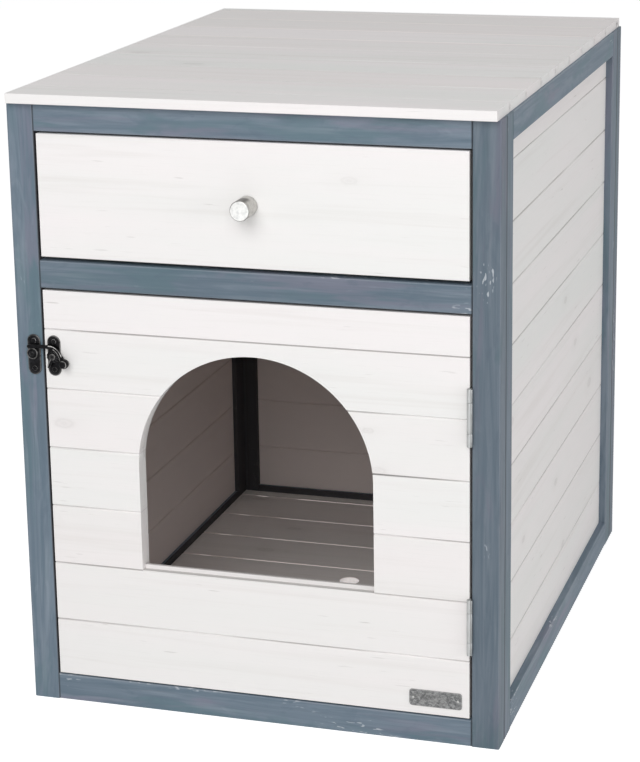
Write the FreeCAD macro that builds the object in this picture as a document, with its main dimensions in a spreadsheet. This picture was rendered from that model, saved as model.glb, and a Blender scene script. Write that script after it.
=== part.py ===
import FreeCAD, Part
import math
import os
import re

import Sketcher
from FreeCAD import Placement, Rotation, Vector

# Litter box enclosure: a free-standing wooden cabinet of framed tongue-and-groove walls, with
# a drawer at the top and a side-hung door that has an arched doorway.
# Millimetres. X to the right, Y away from the front, Z up. The origin is on the floor, in the
# middle of the whole object's box. In this file Y is written from the front face of the frame,
# and place() moves it to the origin.

SIZES = {
    # Frames: five frames of one stock
    "frame_width": 480,
    "frame_depth": 620,
    "frame_height": 608,
    "member_face": 27,
    "member_thick": 23,
    "back_stile_face": 40,
    "member_ease": 1.6,
    "drawer_space": 126,
    "tenon_shoulder": 4,
    "tenon_slack": 0.3,
    "dowel_radius": 4,
    "dowel_reach": 15,
    "dowel_row_inset": 60,
    "small_ease": 1,
    # Wall boards, which stand in grooves of the side and back frames
    "wall_cover": 60,
    "wall_thick": 10,
    "wall_recess": 8,
    "wall_seat": 5,
    "wall_slack": 0.5,
    "wall_first_joint": 77,
    "tongue_reach": 4,
    "tongue_thick": 3.3,
    "tongue_slack": 0.3,
    "vee": 1.2,
    "narrowest_strip": 12,
    # Top boards and the battens under them
    "top_thick": 9.5,
    "top_cover": 70,
    "top_front_over": 8,
    "top_side_inset": 2.5,
    "top_first_joint": 43,
    "top_batten_wide": 20,
    "top_batten_thick": 12,
    "top_batten_gap": 2,
    "top_batten_end": 8,
    # Floor boards, the battens and side ledgers under them, and the lifting hole
    "floor_top": 20,
    "floor_thick": 8,
    "floor_cover": 70,
    "floor_gap": 1.2,
    "floor_side_gap": 0.5,
    "floor_first_joint": 89,
    "floor_batten_thick": 11,
    "floor_batten_wide": 38,
    "floor_batten_from_side": 35,
    "floor_ledger_wide": 20,
    "finger_hole_radius": 11,
    "finger_hole_left": 6,
    "finger_hole_boards": 3.5,
    # Drawer
    "drawer_gap_low": 4,
    "drawer_gap_top": 2,
    "drawer_gap_side": 2.5,
    "drawer_front_thick": 18,
    "drawer_side_thick": 10,
    "drawer_side_high": 110,
    "drawer_rear_gap": 99,
    "drawer_lift": 0.3,
    "drawer_run_gap": 0.5,
    "drawer_groove_up": 10,
    "drawer_groove_deep": 5,
    "drawer_bottom_thick": 6,
    "drawer_bottom_slack": 0.4,
    "drawer_dowel_radius": 3,
    "drawer_dowel_reach": 11,
    "drawer_fixing_low": 25,
    "drawer_fixing_high": 88,
    "runner_base_wide": 27,
    "runner_base_thick": 15,
    "runner_upright_thick": 10,
    "runner_upright_high": 23,
    "stop_block_long": 20,
    "stop_block_gap": 0.5,
    "stop_block_high": 18,
    "knob_radius": 9.7,
    "knob_length": 25,
    "knob_ease": 0.8,
    "knob_screw_head": 3.6,
    "knob_screw_head_high": 2.2,
    "knob_screw_rim_high": 2,
    "knob_screw_shank": 2,
    "knob_screw_long": 32,
    # Door
    "door_gap": 2,
    "door_thick": 18,
    "door_top_cover": 39,
    "arch_radius": 118,
    "arch_below_joint": 14,
    "arch_boards": 4,
    "door_batten_wide": 30,
    "door_batten_thick": 12,
    "door_batten_from_edge": 11,
    "door_batten_inset": 16,
    "door_stop_wide": 14,
    "door_stop_behind": 7,
    "door_stop_gap": 0.3,
    "door_stop_inset": 40,
    # Butt hinges: the leaves lie in the gap beside the door
    "hinge_long": 56,
    "hinge_upper_down": 67.5,
    "hinge_lower_up": 66.5,
    "knuckle_radius": 2.8,
    "knuckle_clear": 0.4,
    "knuckle_short": 13,
    "knuckle_gap": 0.3,
    "leaf_wide": 14,
    "leaf_thick": 0.8,
    "hinge_pin_radius": 1.4,
    "hinge_pin_slack": 0.15,
    "hinge_screw_apart": 28,
    # Swing latch: a strike plate with a round catch, a door plate and an arm on a rivet
    "latch_down": 65,
    "latch_plate_wide": 13.6,
    "latch_plate_long": 40.5,
    "latch_plate_thick": 1.2,
    "latch_plate_ease": 0.4,
    "latch_plate_inset": 9.4,
    "strike_inset": 9.5,
    "latch_screw_apart": 28,
    "catch_radius": 6,
    "catch_out": 5,
    "catch_up": 1.3,
    "catch_outward": 1.3,
    "catch_ease": 0.9,
    "catch_boss_radius": 2.6,
    "catch_boss_tip": 2,
    "catch_boss_high": 1.4,
    "arm_back": 2.8,
    "arm_thick": 2.6,
    "arm_hub_radius": 6.6,
    "arm_hub_gap": 0.3,
    "arm_bow_radius": 11.8,
    "arm_bow_wide": 3.2,
    "arm_bow_left": 3,
    "arm_bow_down": 1,
    "arm_bow_from": -48,
    "arm_bow_sweep": 138,
    "arm_ball_radius": 4.8,
    "arm_ball_right": 12.5,
    "arm_ball_down": 5.9,
    "arm_ball_out": 7,
    "arm_neck_radius": 1.5,
    "arm_neck_up": 2,
    "arm_tail_left": 4.9,
    "arm_tail_down": 11,
    "arm_tail_radius": 1.3,
    "arm_tail_tip_radius": 1.7,
    "rivet_radius": 2,
    "rivet_head_radius": 3.4,
    "rivet_head_high": 1.4,
    "rivet_head_ease": 0.8,
    "rivet_slack": 0.3,
    "rivet_deep": 10,
    # Blank plate at the door's lower right corner
    "plate_wide": 52,
    "plate_high": 17,
    "plate_thick": 1,
    "plate_corner": 3,
    "plate_ease": 0.25,
    "plate_right_inset": 7,
    "plate_up": 7.7,
    "plate_pin_inset": 4,
    "plate_pin_radius": 1,
    "plate_pin_deep": 9,
    "plate_pin_head": 1.6,
    "plate_pin_head_tip": 1.4,
    "plate_pin_head_high": 0.5,
    # Countersunk wood screws of five kinds: head radius, head depth, shank radius and length
    "hinge_screw_head": 2.4,
    "hinge_screw_shank": 1.2,
    "hinge_screw_long": 13,
    "latch_screw_head": 2.6,
    "latch_screw_shank": 1.3,
    "latch_screw_long": 12,
    "batten_screw_head": 3.4,
    "batten_screw_deep": 2.2,
    "batten_screw_shank": 1.7,
    "batten_screw_long": 24,
    "board_screw_head": 3,
    "board_screw_deep": 2,
    "board_screw_shank": 1.5,
    "board_screw_long": 16,
    "runner_screw_head": 3.6,
    "runner_screw_deep": 2.4,
    "runner_screw_shank": 1.9,
    "runner_screw_long": 36,
    # How far a cutter runs past the piece that it cuts
    "cutter_past": 1,
}

# Places and sizes worked out from the driving ones
DERIVED = {
    "front_y": "(knob_length - frame_depth) / 2",
    "half_width": "frame_width / 2",
    "opening_half": "frame_width / 2 - member_face",
    "side_inner": "frame_width / 2 - member_thick",
    "back_plane": "frame_depth - member_thick",
    "top_rail_low": "frame_height - member_face",
    "mid_rail_top": "top_rail_low - drawer_space",
    "mid_rail_low": "mid_rail_top - member_face",
    "wall_reach": "wall_seat - wall_slack",
    "wall_low": "member_face - wall_reach",
    "wall_high": "top_rail_low + wall_reach",
    "side_wall_front": "member_thick + member_face - wall_reach",
    "side_wall_rear": "back_plane - member_face + wall_reach",
    "back_opening_half": "half_width - back_stile_face",
    "back_wall_half": "back_opening_half + wall_reach",
    "top_high": "frame_height + top_thick",
    "top_half": "half_width - top_side_inset",
    "top_batten_outer": "side_inner - top_batten_gap",
    "top_batten_low": "frame_height - top_batten_thick",
    "floor_low": "floor_top - floor_thick",
    "floor_batten_low": "floor_low - floor_batten_thick",
    "floor_half": "side_inner - floor_side_gap",
    "floor_batten_inner": "side_inner - floor_batten_from_side - floor_batten_wide",
    "finger_hole_y": "floor_first_joint + finger_hole_boards * floor_cover",
    "drawer_front_low": "mid_rail_top + drawer_gap_low",
    "drawer_front_high": "top_rail_low - drawer_gap_top",
    "drawer_front_half": "opening_half - drawer_gap_side",
    "drawer_low": "mid_rail_top + drawer_lift",
    "runner_face": "side_inner - runner_upright_thick",
    "drawer_half": "runner_face - drawer_run_gap",
    "drawer_end": "back_plane - drawer_rear_gap",
    "drawer_bottom_low": "drawer_low + drawer_groove_up",
    "knob_z": "(drawer_front_low + drawer_front_high) / 2",
    "door_half": "opening_half - door_gap",
    "door_low": "member_face + door_gap",
    "door_high": "mid_rail_low - door_gap",
    "door_last_joint": "door_high - door_top_cover",
    "arch_sill": "door_last_joint - arch_boards * wall_cover",
    "arch_top": "door_last_joint - arch_below_joint",
    "arch_spring": "arch_top - arch_radius - arch_sill",
    "door_batten_inner": "door_half - door_batten_from_edge - door_batten_wide",
    "door_back": "door_thick + door_batten_thick",
    "hinge_x": "opening_half - door_gap / 2",
    "hinge_axis_out": "knuckle_radius + knuckle_clear",
    "hinge_upper_low": "door_high - hinge_upper_down - hinge_long",
    "hinge_lower_low": "door_low + hinge_lower_up",
    "hinge_screw_deep": "leaf_thick",
    "latch_height": "door_high - latch_down",
    "latch_screw_deep": "latch_plate_thick",
    "latch_x": "-(door_half - latch_plate_inset)",
    "strike_x": "-(opening_half + strike_inset)",
    "catch_x": "strike_x - catch_outward",
    "catch_z": "latch_height + catch_up",
    "arm_front": "arm_back + arm_thick",
    "arm_bar_end": "catch_x - catch_radius / 2",
    "plate_right": "door_half - plate_right_inset",
    "plate_left": "plate_right - plate_wide",
    "plate_low": "door_low + plate_up",
}

# Two places nearer than this are the same, a direction this near to an axis runs along it, and a
# sliver is too thin to be a board's edge
NEAR = 0.01
ALONG = 0.99
SLIVER = 1

RIGHT, BACK, UP = Vector(1, 0, 0), Vector(0, 1, 0), Vector(0, 0, 1)
LEFT, FRONT, DOWN = -RIGHT, -BACK, -UP
SIDES = {"left": (RIGHT, "-"), "right": (LEFT, "")}

doc = FreeCAD.newDocument("litter_box_enclosure")
nodes = []


# Sheet and expressions

def make_sheet():
    sheet = doc.addObject("Spreadsheet::Sheet", "Sizes")
    for row, (name, value) in enumerate(SIZES.items(), start=1):
        sheet.set(f"A{row}", name)
        sheet.set(f"B{row}", str(value))
        sheet.setAlias(f"B{row}", name)
    doc.recompute()
    return sheet


def full(text):
    """Write out an expression: derived names in full, and driving names as cells of the sheet."""
    def word(match):
        name = match.group(0)
        if name in SIZES:
            return "Sizes." + name
        if name in DERIVED:
            return "(" + full(DERIVED[name]) + ")"
        raise KeyError(name)
    return re.sub(r"[a-z][a-z_]*", word, str(text))


def value(text):
    return float(sheet.evalExpression(full(text)))


def bind(thing, prop, text):
    thing.setExpression(prop, full(text))


# Placing

def place(thing, u, v, at):
    """Turn the local x axis to u and the local y axis to v, with the local origin at (x, y, z)."""
    thing.Placement = Placement(Vector(), Rotation(u, v, u.cross(v), "XYZ"))
    x, y, z = at
    bind(thing, "Placement.Base.x", x)
    bind(thing, "Placement.Base.y", f"{y} + front_y")
    bind(thing, "Placement.Base.z", z)


def start_of_run(u, v, at, run):
    """Put the run's starting end into the place that at leaves open."""
    along = u.cross(v)
    start = run[0] if along.x + along.y + along.z > 0 else run[1]
    return [start if place_text is None else place_text for place_text in at]


def across(axis):
    """Two directions square to an axis, so that their cross product is the axis."""
    u = (UP if abs(axis.z) < 0.9 else BACK).cross(axis)
    u.normalize()
    return u, axis.cross(u)


# Sketches

def fix_point(sketch, line, end, x, y):
    """Tie a point to expressions for its distances from the sketch's origin."""
    if x == "0":
        sketch.addConstraint(Sketcher.Constraint("PointOnObject", line, end, -2))
    else:
        k = sketch.addConstraint(Sketcher.Constraint("DistanceX", -1, 1, line, end, value(x)))
        bind(sketch, f"Constraints[{k}]", x)
    if y == "0":
        sketch.addConstraint(Sketcher.Constraint("PointOnObject", line, end, -1))
    else:
        k = sketch.addConstraint(Sketcher.Constraint("DistanceY", -1, 1, line, end, value(y)))
        bind(sketch, f"Constraints[{k}]", y)


def draw_outline(sketch, points):
    """Draw a closed outline of straight lines through points given as pairs of expressions."""
    spots = [Vector(value(x), value(y), 0) for x, y in points]
    for spot, following in zip(spots, spots[1:] + spots[:1]):
        sketch.addGeometry(Part.LineSegment(spot, following), False)
    count = len(points)
    for line in range(count):
        after = (line + 1) % count
        sketch.addConstraint(Sketcher.Constraint("Coincident", line, 2, after, 1))
    for line, (x, y) in enumerate(points):
        fix_point(sketch, line, 1, x, y)


def draw_slot(sketch, wide, long):
    """Draw an upright slot with round ends, its lower left corner at the origin."""
    radius, width, low = value(f"{wide} / 2"), value(wide), value(f"{wide} / 2")
    high = value(f"{long} - {wide} / 2")
    sketch.addGeometry(Part.LineSegment(Vector(width, low, 0), Vector(width, high, 0)), False)
    sketch.addGeometry(arc(radius, high, radius, 0, math.pi), False)
    sketch.addGeometry(Part.LineSegment(Vector(0, high, 0), Vector(0, low, 0)), False)
    sketch.addGeometry(arc(radius, low, radius, math.pi, 2 * math.pi), False)
    for line in range(4):
        sketch.addConstraint(Sketcher.Constraint("Coincident", line, 2, (line + 1) % 4, 1))
    fix_point(sketch, 0, 1, wide, f"{wide} / 2")
    fix_point(sketch, 0, 2, wide, f"{long} - {wide} / 2")
    fix_point(sketch, 2, 1, "0", f"{long} - {wide} / 2")
    fix_point(sketch, 2, 2, "0", f"{wide} / 2")
    for ring, middle in ((1, f"{long} - {wide} / 2"), (3, f"{wide} / 2")):
        k = sketch.addConstraint(Sketcher.Constraint("DistanceY", -1, 1, ring, 3, value(middle)))
        bind(sketch, f"Constraints[{k}]", middle)


def draw_arch(sketch):
    """Draw the doorway: an upright rectangle with a half circle on it."""
    radius, spring = value("arch_radius"), value("arch_spring")
    corners = [Vector(0, spring, 0), Vector(), Vector(2 * radius, 0, 0), Vector(2 * radius, spring, 0)]
    for spot, following in zip(corners, corners[1:]):
        sketch.addGeometry(Part.LineSegment(spot, following), False)
    sketch.addGeometry(arc(radius, spring, radius, 0, math.pi), False)
    for line in range(4):
        sketch.addConstraint(Sketcher.Constraint("Coincident", line, 2, (line + 1) % 4, 1))
    fix_point(sketch, 0, 1, "0", "arch_spring")
    fix_point(sketch, 1, 1, "0", "0")
    fix_point(sketch, 2, 1, "2 * arch_radius", "0")
    fix_point(sketch, 2, 2, "2 * arch_radius", "arch_spring")
    k = sketch.addConstraint(Sketcher.Constraint("DistanceY", -1, 1, 3, 3, spring))
    bind(sketch, f"Constraints[{k}]", "arch_spring")


def arc(x, y, radius, first, last):
    return Part.ArcOfCircle(Part.Circle(Vector(x, y, 0), UP, radius), first, last)


def body_sketch(body, name, start="0"):
    """A sketch on the body's own XY plane, or at a distance along Z from it."""
    sketch = body.newObject("Sketcher::SketchObject", name)
    plane = [item for item in body.Origin.OriginFeatures if item.Role == "XY_Plane"][0]
    sketch.AttachmentSupport = [(plane, "")]
    sketch.MapMode = "FlatFace"
    if start != "0":
        bind(sketch, "AttachmentOffset.Base.z", start)
    return sketch


# Kinds of piece

def keep(thing, label):
    """Name a document object as a sub-part of the model."""
    thing.Label = label
    nodes.append(thing)
    return thing


def section(wide, thick, notch=None):
    """Corner points of a bar: wide by thick, with a groove in its far x or far y face."""
    points = [("0", "0"), (wide, "0"), (wide, thick), ("0", thick)]
    if notch:
        face, low, high, deep = notch
        if face == "far x":
            bottom = f"{wide} - ({deep})"
            points[2:2] = [(wide, low), (bottom, low), (bottom, high), (wide, high)]
        else:
            bottom = f"{thick} - ({deep})"
            points[3:3] = [(high, thick), (high, bottom), (low, bottom), (low, thick)]
    return points


def long_edges(shape, wide, thick):
    """Names of the edges that run along Z at the four corners of a bar's section."""
    spots = [(0, 0), (wide, 0), (wide, thick), (0, thick)]
    names = []
    for k, edge in enumerate(shape.Edges, start=1):
        middle = edge.CenterOfMass
        upright = abs(edge.tangentAt(edge.FirstParameter).z) > ALONG
        if upright and any(math.hypot(middle.x - x, middle.y - y) < NEAR for x, y in spots):
            names.append(f"Edge{k}")
    return names


def bar(name, u, v, at, run, wide, thick, notch=None, tenon=None, ease="member_ease"):
    """A length of stock: section wide along u and thick along v, with eased long edges."""
    body = doc.addObject("PartDesign::Body", name)
    outline = body_sketch(body, name + "_section")
    draw_outline(outline, section(wide, thick, notch))
    pad = body.newObject("PartDesign::Pad", name + "_run")
    pad.Profile = outline
    bind(pad, "Length", f"({run[1]}) - ({run[0]})")
    last = pad
    if tenon:
        low_u, high_u, low_v, high_v, reach = tenon
        cheeks = body_sketch(body, name + "_tenon_section", f"-({reach})")
        draw_outline(cheeks, [(low_u, low_v), (high_u, low_v), (high_u, high_v), (low_u, high_v)])
        last = body.newObject("PartDesign::Pad", name + "_tenons")
        last.Profile = cheeks
        bind(last, "Length", f"({run[1]}) - ({run[0]}) + 2 * ({reach})")
    doc.recompute()
    eased = body.newObject("PartDesign::Fillet", name + "_eased")
    eased.Base = (last, long_edges(last.Shape, value(wide), value(thick)))
    bind(eased, "Radius", ease)
    body.Tip = eased
    place(body, u, v, start_of_run(u, v, at, run))
    return body


def block(name, x, y, z):
    """A plain block between two places along each axis."""
    thing = doc.addObject("Part::Box", name)
    for prop, (low, high) in zip(("Length", "Width", "Height"), (x, y, z)):
        bind(thing, prop, f"({high}) - ({low})")
    place(thing, RIGHT, BACK, (x[0], y[0], z[0]))
    return thing


def rod(name, at, axis, radius, length, first=None, sweep=None):
    """A cylinder along an axis, or a sector of one from a starting direction."""
    thing = doc.addObject("Part::Cylinder", name)
    bind(thing, "Radius", radius)
    bind(thing, "Height", length)
    if sweep:
        thing.Angle = sweep
    u, v = (first, axis.cross(first)) if first else across(axis)
    place(thing, u, v, at)
    return thing


def turned_sketch(name, points):
    """A half section for a turned piece: radius along x, length along y."""
    sketch = doc.addObject("Sketcher::SketchObject", name)
    draw_outline(sketch, points)
    return sketch


def turned(name, sketch, at, axis):
    """A turned piece whose half section runs along an axis from a place."""
    thing = doc.addObject("Part::Revolution", name)
    thing.Source = sketch
    thing.Base = Vector()
    thing.Axis = Vector(0, 1, 0)
    thing.Angle = 360
    thing.Solid = True
    u, v = across(axis)
    place(thing, v, axis, at)
    return thing


def screw_group(label, kind, places):
    """Countersunk screws of one kind, each from a place on the surface along an axis."""
    head, deep, shank, long = (f"{kind}_{part}" for part in ("head", "deep", "shank", "long"))
    outline = [("0", "0"), (head, "0"), (shank, deep), (shank, f"{long} - {shank}"), ("0", long)]
    sketch = turned_sketch(label + "_section", outline)
    screws = [turned(f"{label}_{k}", sketch, at, axis) for k, (at, axis) in enumerate(places)]
    return keep(compound(label, screws), label)


def compound(name, things):
    thing = doc.addObject("Part::Compound", name + "_group")
    thing.Links = things
    return thing


def cut(name, base, tool):
    thing = doc.addObject("Part::Cut", name)
    thing.Base = base
    thing.Tool = tool
    return thing


def fuse(name, things):
    thing = doc.addObject("Part::MultiFuse", name)
    thing.Shapes = things
    return thing


# Boards

def board_section(wide, thick, grooved, tongued):
    """A board from its near joint to its far joint: x across it, y in from its face."""
    middle_low = f"({thick} - tongue_thick) / 2"
    middle_high = f"({thick} + tongue_thick) / 2"
    points = [("vee", "0")] if grooved else [("0", "0")]
    if tongued:
        points += [(f"{wide} - vee", "0"), (wide, "vee"), (wide, middle_low)]
        points += [(f"{wide} + tongue_reach", middle_low), (f"{wide} + tongue_reach", middle_high)]
        points += [(wide, middle_high), (wide, thick)]
    else:
        points += [(wide, "0"), (wide, thick)]
    points.append(("0", thick))
    if grooved:
        deep = "tongue_reach + tongue_slack"
        points += [("0", f"{middle_high} + tongue_slack"), (deep, f"{middle_high} + tongue_slack")]
        points += [(deep, f"{middle_low} - tongue_slack"), ("0", f"{middle_low} - tongue_slack")]
        points.append(("0", "vee"))
    return points


def joints(low, high, start, cover, up=True):
    """Expressions for the joint lines of a run of boards and its two edges, in rising order.

    The boards are laid up from the lowest joint, or down from the highest."""
    lines = []
    while True:
        line = f"{start} {'+' if up else '-'} {len(lines)} * {cover}"
        left = f"({high}) - ({line})" if up else f"{line} - ({low})"
        if value(left) <= value("narrowest_strip"):
            break
        lines.append(line)
    return [low] + (lines if up else lines[::-1]) + [high]


def lay_boards(name, u, v, at, run, lines, cover, thick):
    """Tongue-and-groove boards between joint lines that follow each other along u."""
    boards = []
    shared = None
    for k, (low, high) in enumerate(zip(lines, lines[1:])):
        first, last = k == 0, k == len(lines) - 2
        whole = not first and not last
        if whole and shared:
            sketch = shared
        else:
            sketch = doc.addObject("Sketcher::SketchObject", f"{name}_section_{k}")
            wide = cover if whole else f"({high}) - ({low})"
            draw_outline(sketch, board_section(wide, thick, not first, not last))
            shared = sketch if whole else shared
        boards.append(extrude(f"{name}_{k}", sketch, u, v, at, run, low))
    return boards


def extrude(name, sketch, u, v, at, run, joint):
    """Run a sketch along u x v from a joint line; at gives the place of the boards' face."""
    thing = doc.addObject("Part::Extrusion", name)
    thing.Base = sketch
    thing.DirMode = "Normal"
    thing.Solid = True
    bind(thing, "LengthFwd", f"({run[1]}) - ({run[0]})")
    spots = start_of_run(u, v, at, run)
    spots = [joint if spot == "joint" else spot for spot in spots]
    place(thing, u, v, spots)
    return thing


# The dowels and screws come first, because the wood is bored to take them

def frame_dowels():
    dowels = []
    for side, (inward, sign) in SIDES.items():
        for k, height in enumerate(("frame_height - member_face / 2", "mid_rail_low + member_face / 2",
                                    "member_face / 2")):
            at = (f"{sign}(opening_half + dowel_reach)", "member_thick / 2", height)
            dowels.append(rod(f"{side}_rail_dowel_{k}", at, inward, "dowel_radius", "2 * dowel_reach"))
        for k, height in enumerate(("dowel_row_inset", "frame_height / 2 - dowel_row_inset / 2",
                                    "frame_height - dowel_row_inset")):
            at = (f"{sign}(half_width - member_thick / 2)", "member_thick - dowel_reach", height)
            dowels.append(rod(f"{side}_corner_dowel_{k}", at, BACK, "dowel_radius", "2 * dowel_reach"))
    return keep(compound("frame_dowels", dowels), "frame_dowels")


def hinge_lows():
    return {"upper": "hinge_upper_low", "lower": "hinge_lower_low"}


def hinge_screws():
    frame_places, door_places = [], []
    for low in hinge_lows().values():
        for sign in ("-", "+"):
            height = f"{low} + hinge_long / 2 {sign} hinge_screw_apart / 2"
            frame_places.append((("opening_half - leaf_thick", "leaf_wide / 2", height), RIGHT))
            door_places.append((("door_half + leaf_thick", "leaf_wide / 2", height), LEFT))
    return (screw_group("hinge_frame_screws", "hinge_screw", frame_places),
            screw_group("hinge_door_screws", "hinge_screw", door_places))


def latch_screws():
    groups = []
    for label, x in (("strike_screws", "strike_x"), ("latch_plate_screws", "latch_x")):
        places = [((x, "-latch_plate_thick", f"latch_height {sign} latch_screw_apart / 2"), BACK)
                  for sign in ("-", "+")]
        groups.append(screw_group(label, "latch_screw", places))
    return groups


def runner_screws():
    places = []
    for inward, sign in SIDES.values():
        for y in ("member_thick + member_face / 2", "back_plane - member_face / 2"):
            at = (f"{sign}(side_inner - runner_base_wide)", y, "mid_rail_top - runner_base_thick / 2")
            places.append((at, -inward))
    return screw_group("runner_screws", "runner_screw", places)


def middles(lines):
    return [f"(({low}) + ({high})) / 2" for low, high in zip(lines, lines[1:])]


def board_screws():
    """Screws up through the floor and top battens, one for each board that crosses them."""
    places = []
    floor_x = "(floor_batten_inner + floor_batten_wide / 2)"
    top_x = "(top_batten_outer - top_batten_wide / 2)"
    for sign in ("-", ""):
        for y in middles(FLOOR_LINES)[:-1]:
            places.append(((f"{sign}{floor_x}", y, "floor_batten_low"), UP))
        for y in middles(TOP_LINES)[1:-1]:
            places.append(((f"{sign}{top_x}", y, "top_batten_low"), UP))
    return screw_group("board_screws", "board_screw", places)


def door_batten_screws():
    places = []
    for sign in ("-", ""):
        for height in middles(DOOR_LINES):
            x = f"{sign}(door_batten_inner + door_batten_wide / 2)"
            places.append(((x, "door_back", height), FRONT))
    return screw_group("door_batten_screws", "batten_screw", places)


def drawer_fixings():
    """Dowels between the drawer's sides and front, and screws from the sides into its back."""
    dowels, places = [], []
    for side, (inward, sign) in SIDES.items():
        for k, up in enumerate(("drawer_fixing_low", "drawer_fixing_high")):
            at = (f"{sign}(drawer_half - drawer_side_thick / 2)", "drawer_front_thick - drawer_dowel_reach",
                  f"drawer_low + {up}")
            dowels.append(rod(f"{side}_drawer_dowel_{k}", at, BACK, "drawer_dowel_radius",
                              "2 * drawer_dowel_reach"))
            at = (f"{sign}drawer_half", "drawer_end - drawer_side_thick / 2", f"drawer_low + {up}")
            places.append((at, inward))
    return (keep(compound("drawer_dowels", dowels), "drawer_dowels"),
            screw_group("drawer_screws", "batten_screw", places))


def knob_screw():
    """A machine screw with a pan head inside the drawer, which holds the knob."""
    outline = [("0", "0"), ("knob_screw_head", "0"), ("knob_screw_head", "knob_screw_rim_high"),
               ("knob_screw_shank", "knob_screw_head_high"), ("knob_screw_shank", "knob_screw_long"),
               ("0", "knob_screw_long")]
    sketch = turned_sketch("knob_screw_section", outline)
    at = ("0", "drawer_front_thick + knob_screw_head_high", "knob_z")
    return keep(turned("knob_screw_turned", sketch, at, FRONT), "knob_screw")


# Frames

def front_frame(holes):
    for side, (inward, sign) in SIDES.items():
        stile = bar(f"front_{side}_stile_stock", inward, BACK, (f"{sign}half_width", "0", None),
                    ("0", "frame_height"), "member_face", "member_thick")
        keep(cut(f"front_{side}_stile_bored", stile, holes), f"front_{side}_stile")
    for label, u, height in (("front_top_rail", DOWN, "frame_height"),
                             ("front_mid_rail", UP, "mid_rail_low"),
                             ("front_bottom_rail", UP, "0")):
        rail = bar(label + "_stock", u, BACK, (None, "0", height), ("-opening_half", "opening_half"),
                   "member_face", "member_thick")
        keep(cut(label + "_bored", rail, holes), label)


def panel_notch():
    """The groove that wall boards stand in, on the inner edge of a panel frame's member."""
    return ("far x", "wall_recess", "wall_recess + wall_thick", "wall_seat")


def rail_tenon():
    """The tongue at each end of a rail, which fills the stile's groove."""
    return ("tenon_shoulder", "member_face - wall_seat", "wall_recess + tenon_slack",
            "wall_recess + wall_thick - tenon_slack", "wall_seat - tenon_slack")


def side_frame(side, holes):
    inward, sign = SIDES[side]
    x = f"{sign}half_width"
    for name, u, y in (("front", BACK, "member_thick"), ("rear", FRONT, "back_plane")):
        stile = bar(f"{side}_{name}_stile_stock", u, inward, (x, y, None), ("0", "frame_height"),
                    "member_face", "member_thick", panel_notch())
        keep(cut(f"{side}_{name}_stile_bored", stile, holes), f"{side}_side_{name}_stile")
    run = ("member_thick + member_face", "back_plane - member_face")
    for name, u, z in (("top", DOWN, "frame_height"), ("bottom", UP, "0")):
        rail = bar(f"{side}_{name}_rail_stock", u, inward, (x, None, z), run,
                   "member_face", "member_thick", panel_notch(), rail_tenon())
        keep(rail, f"{side}_side_{name}_rail")
    face = f"{sign}(half_width - wall_recess)"
    boards = lay_boards(f"{side}_wall", UP, inward, (face, None, "joint"),
                        ("side_wall_front", "side_wall_rear"), WALL_LINES, "wall_cover", "wall_thick")
    keep(compound(f"{side}_wall", boards), f"{side}_side_boards")


def back_frame():
    for side, (inward, sign) in SIDES.items():
        stile = bar(f"back_{side}_stile_stock", inward, FRONT, (f"{sign}half_width", "frame_depth", None),
                    ("0", "frame_height"), "back_stile_face", "member_thick", panel_notch())
        keep(stile, f"back_{side}_stile")
    for name, u, z in (("top", DOWN, "frame_height"), ("bottom", UP, "0")):
        rail = bar(f"back_{name}_rail_stock", u, FRONT, (None, "frame_depth", z),
                   ("-back_opening_half", "back_opening_half"), "member_face", "member_thick",
                   panel_notch(), rail_tenon())
        keep(rail, f"back_{name}_rail")
    boards = lay_boards("back_wall", UP, FRONT, (None, "frame_depth - wall_recess", "joint"),
                        ("-back_wall_half", "back_wall_half"), WALL_LINES, "wall_cover", "wall_thick")
    keep(compound("back_wall", boards), "back_boards")


# Top and floor

def top(holes):
    boards = lay_boards("top", BACK, DOWN, (None, "joint", "top_high"), ("-top_half", "top_half"),
                        TOP_LINES, "top_cover", "top_thick")
    bored = [cut(f"top_bored_{k}", board, holes) for k, board in enumerate(boards)]
    keep(compound("top", bored), "top_boards")
    battens = []
    for side, (inward, sign) in SIDES.items():
        batten = bar(f"{side}_top_batten", inward, UP,
                     (f"{sign}top_batten_outer", None, "top_batten_low"),
                     ("member_thick + top_batten_end", "back_plane - top_batten_end"),
                     "top_batten_wide", "top_batten_thick", ease="small_ease")
        battens.append(cut(f"{side}_top_batten_bored", batten, holes))
    keep(compound("top_battens", battens), "top_battens")


def floor(holes):
    boards = []
    hole = rod("finger_hole", ("-finger_hole_left", "finger_hole_y", "floor_low"), UP,
               "finger_hole_radius", "floor_thick")
    tools = compound("floor_cutters", [holes, hole])
    for k, (low, high) in enumerate(zip(FLOOR_LINES, FLOOR_LINES[1:])):
        board = bar(f"floor_board_{k}", BACK, UP, (None, f"{low} + floor_gap / 2", "floor_low"),
                    ("-floor_half", "floor_half"), f"({high}) - ({low}) - floor_gap", "floor_thick",
                    ease="small_ease")
        boards.append(cut(f"floor_board_bored_{k}", board, tools))
    keep(compound("floor", boards), "floor_boards")
    battens = []
    run = ("member_thick", "back_plane")
    for side, (inward, sign) in SIDES.items():
        batten = bar(f"{side}_floor_batten", -inward, UP,
                     (f"{sign}floor_batten_inner", None, "floor_batten_low"), run,
                     "floor_batten_wide", "floor_batten_thick", ease="small_ease")
        ledger = bar(f"{side}_floor_ledger", inward, UP, (f"{sign}side_inner", None, "floor_batten_low"),
                     run, "floor_ledger_wide", "floor_batten_thick", ease="small_ease")
        battens += [cut(f"{side}_floor_batten_bored", batten, holes), ledger]
    keep(compound("floor_battens", battens), "floor_battens")


# Drawer and what carries it

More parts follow.
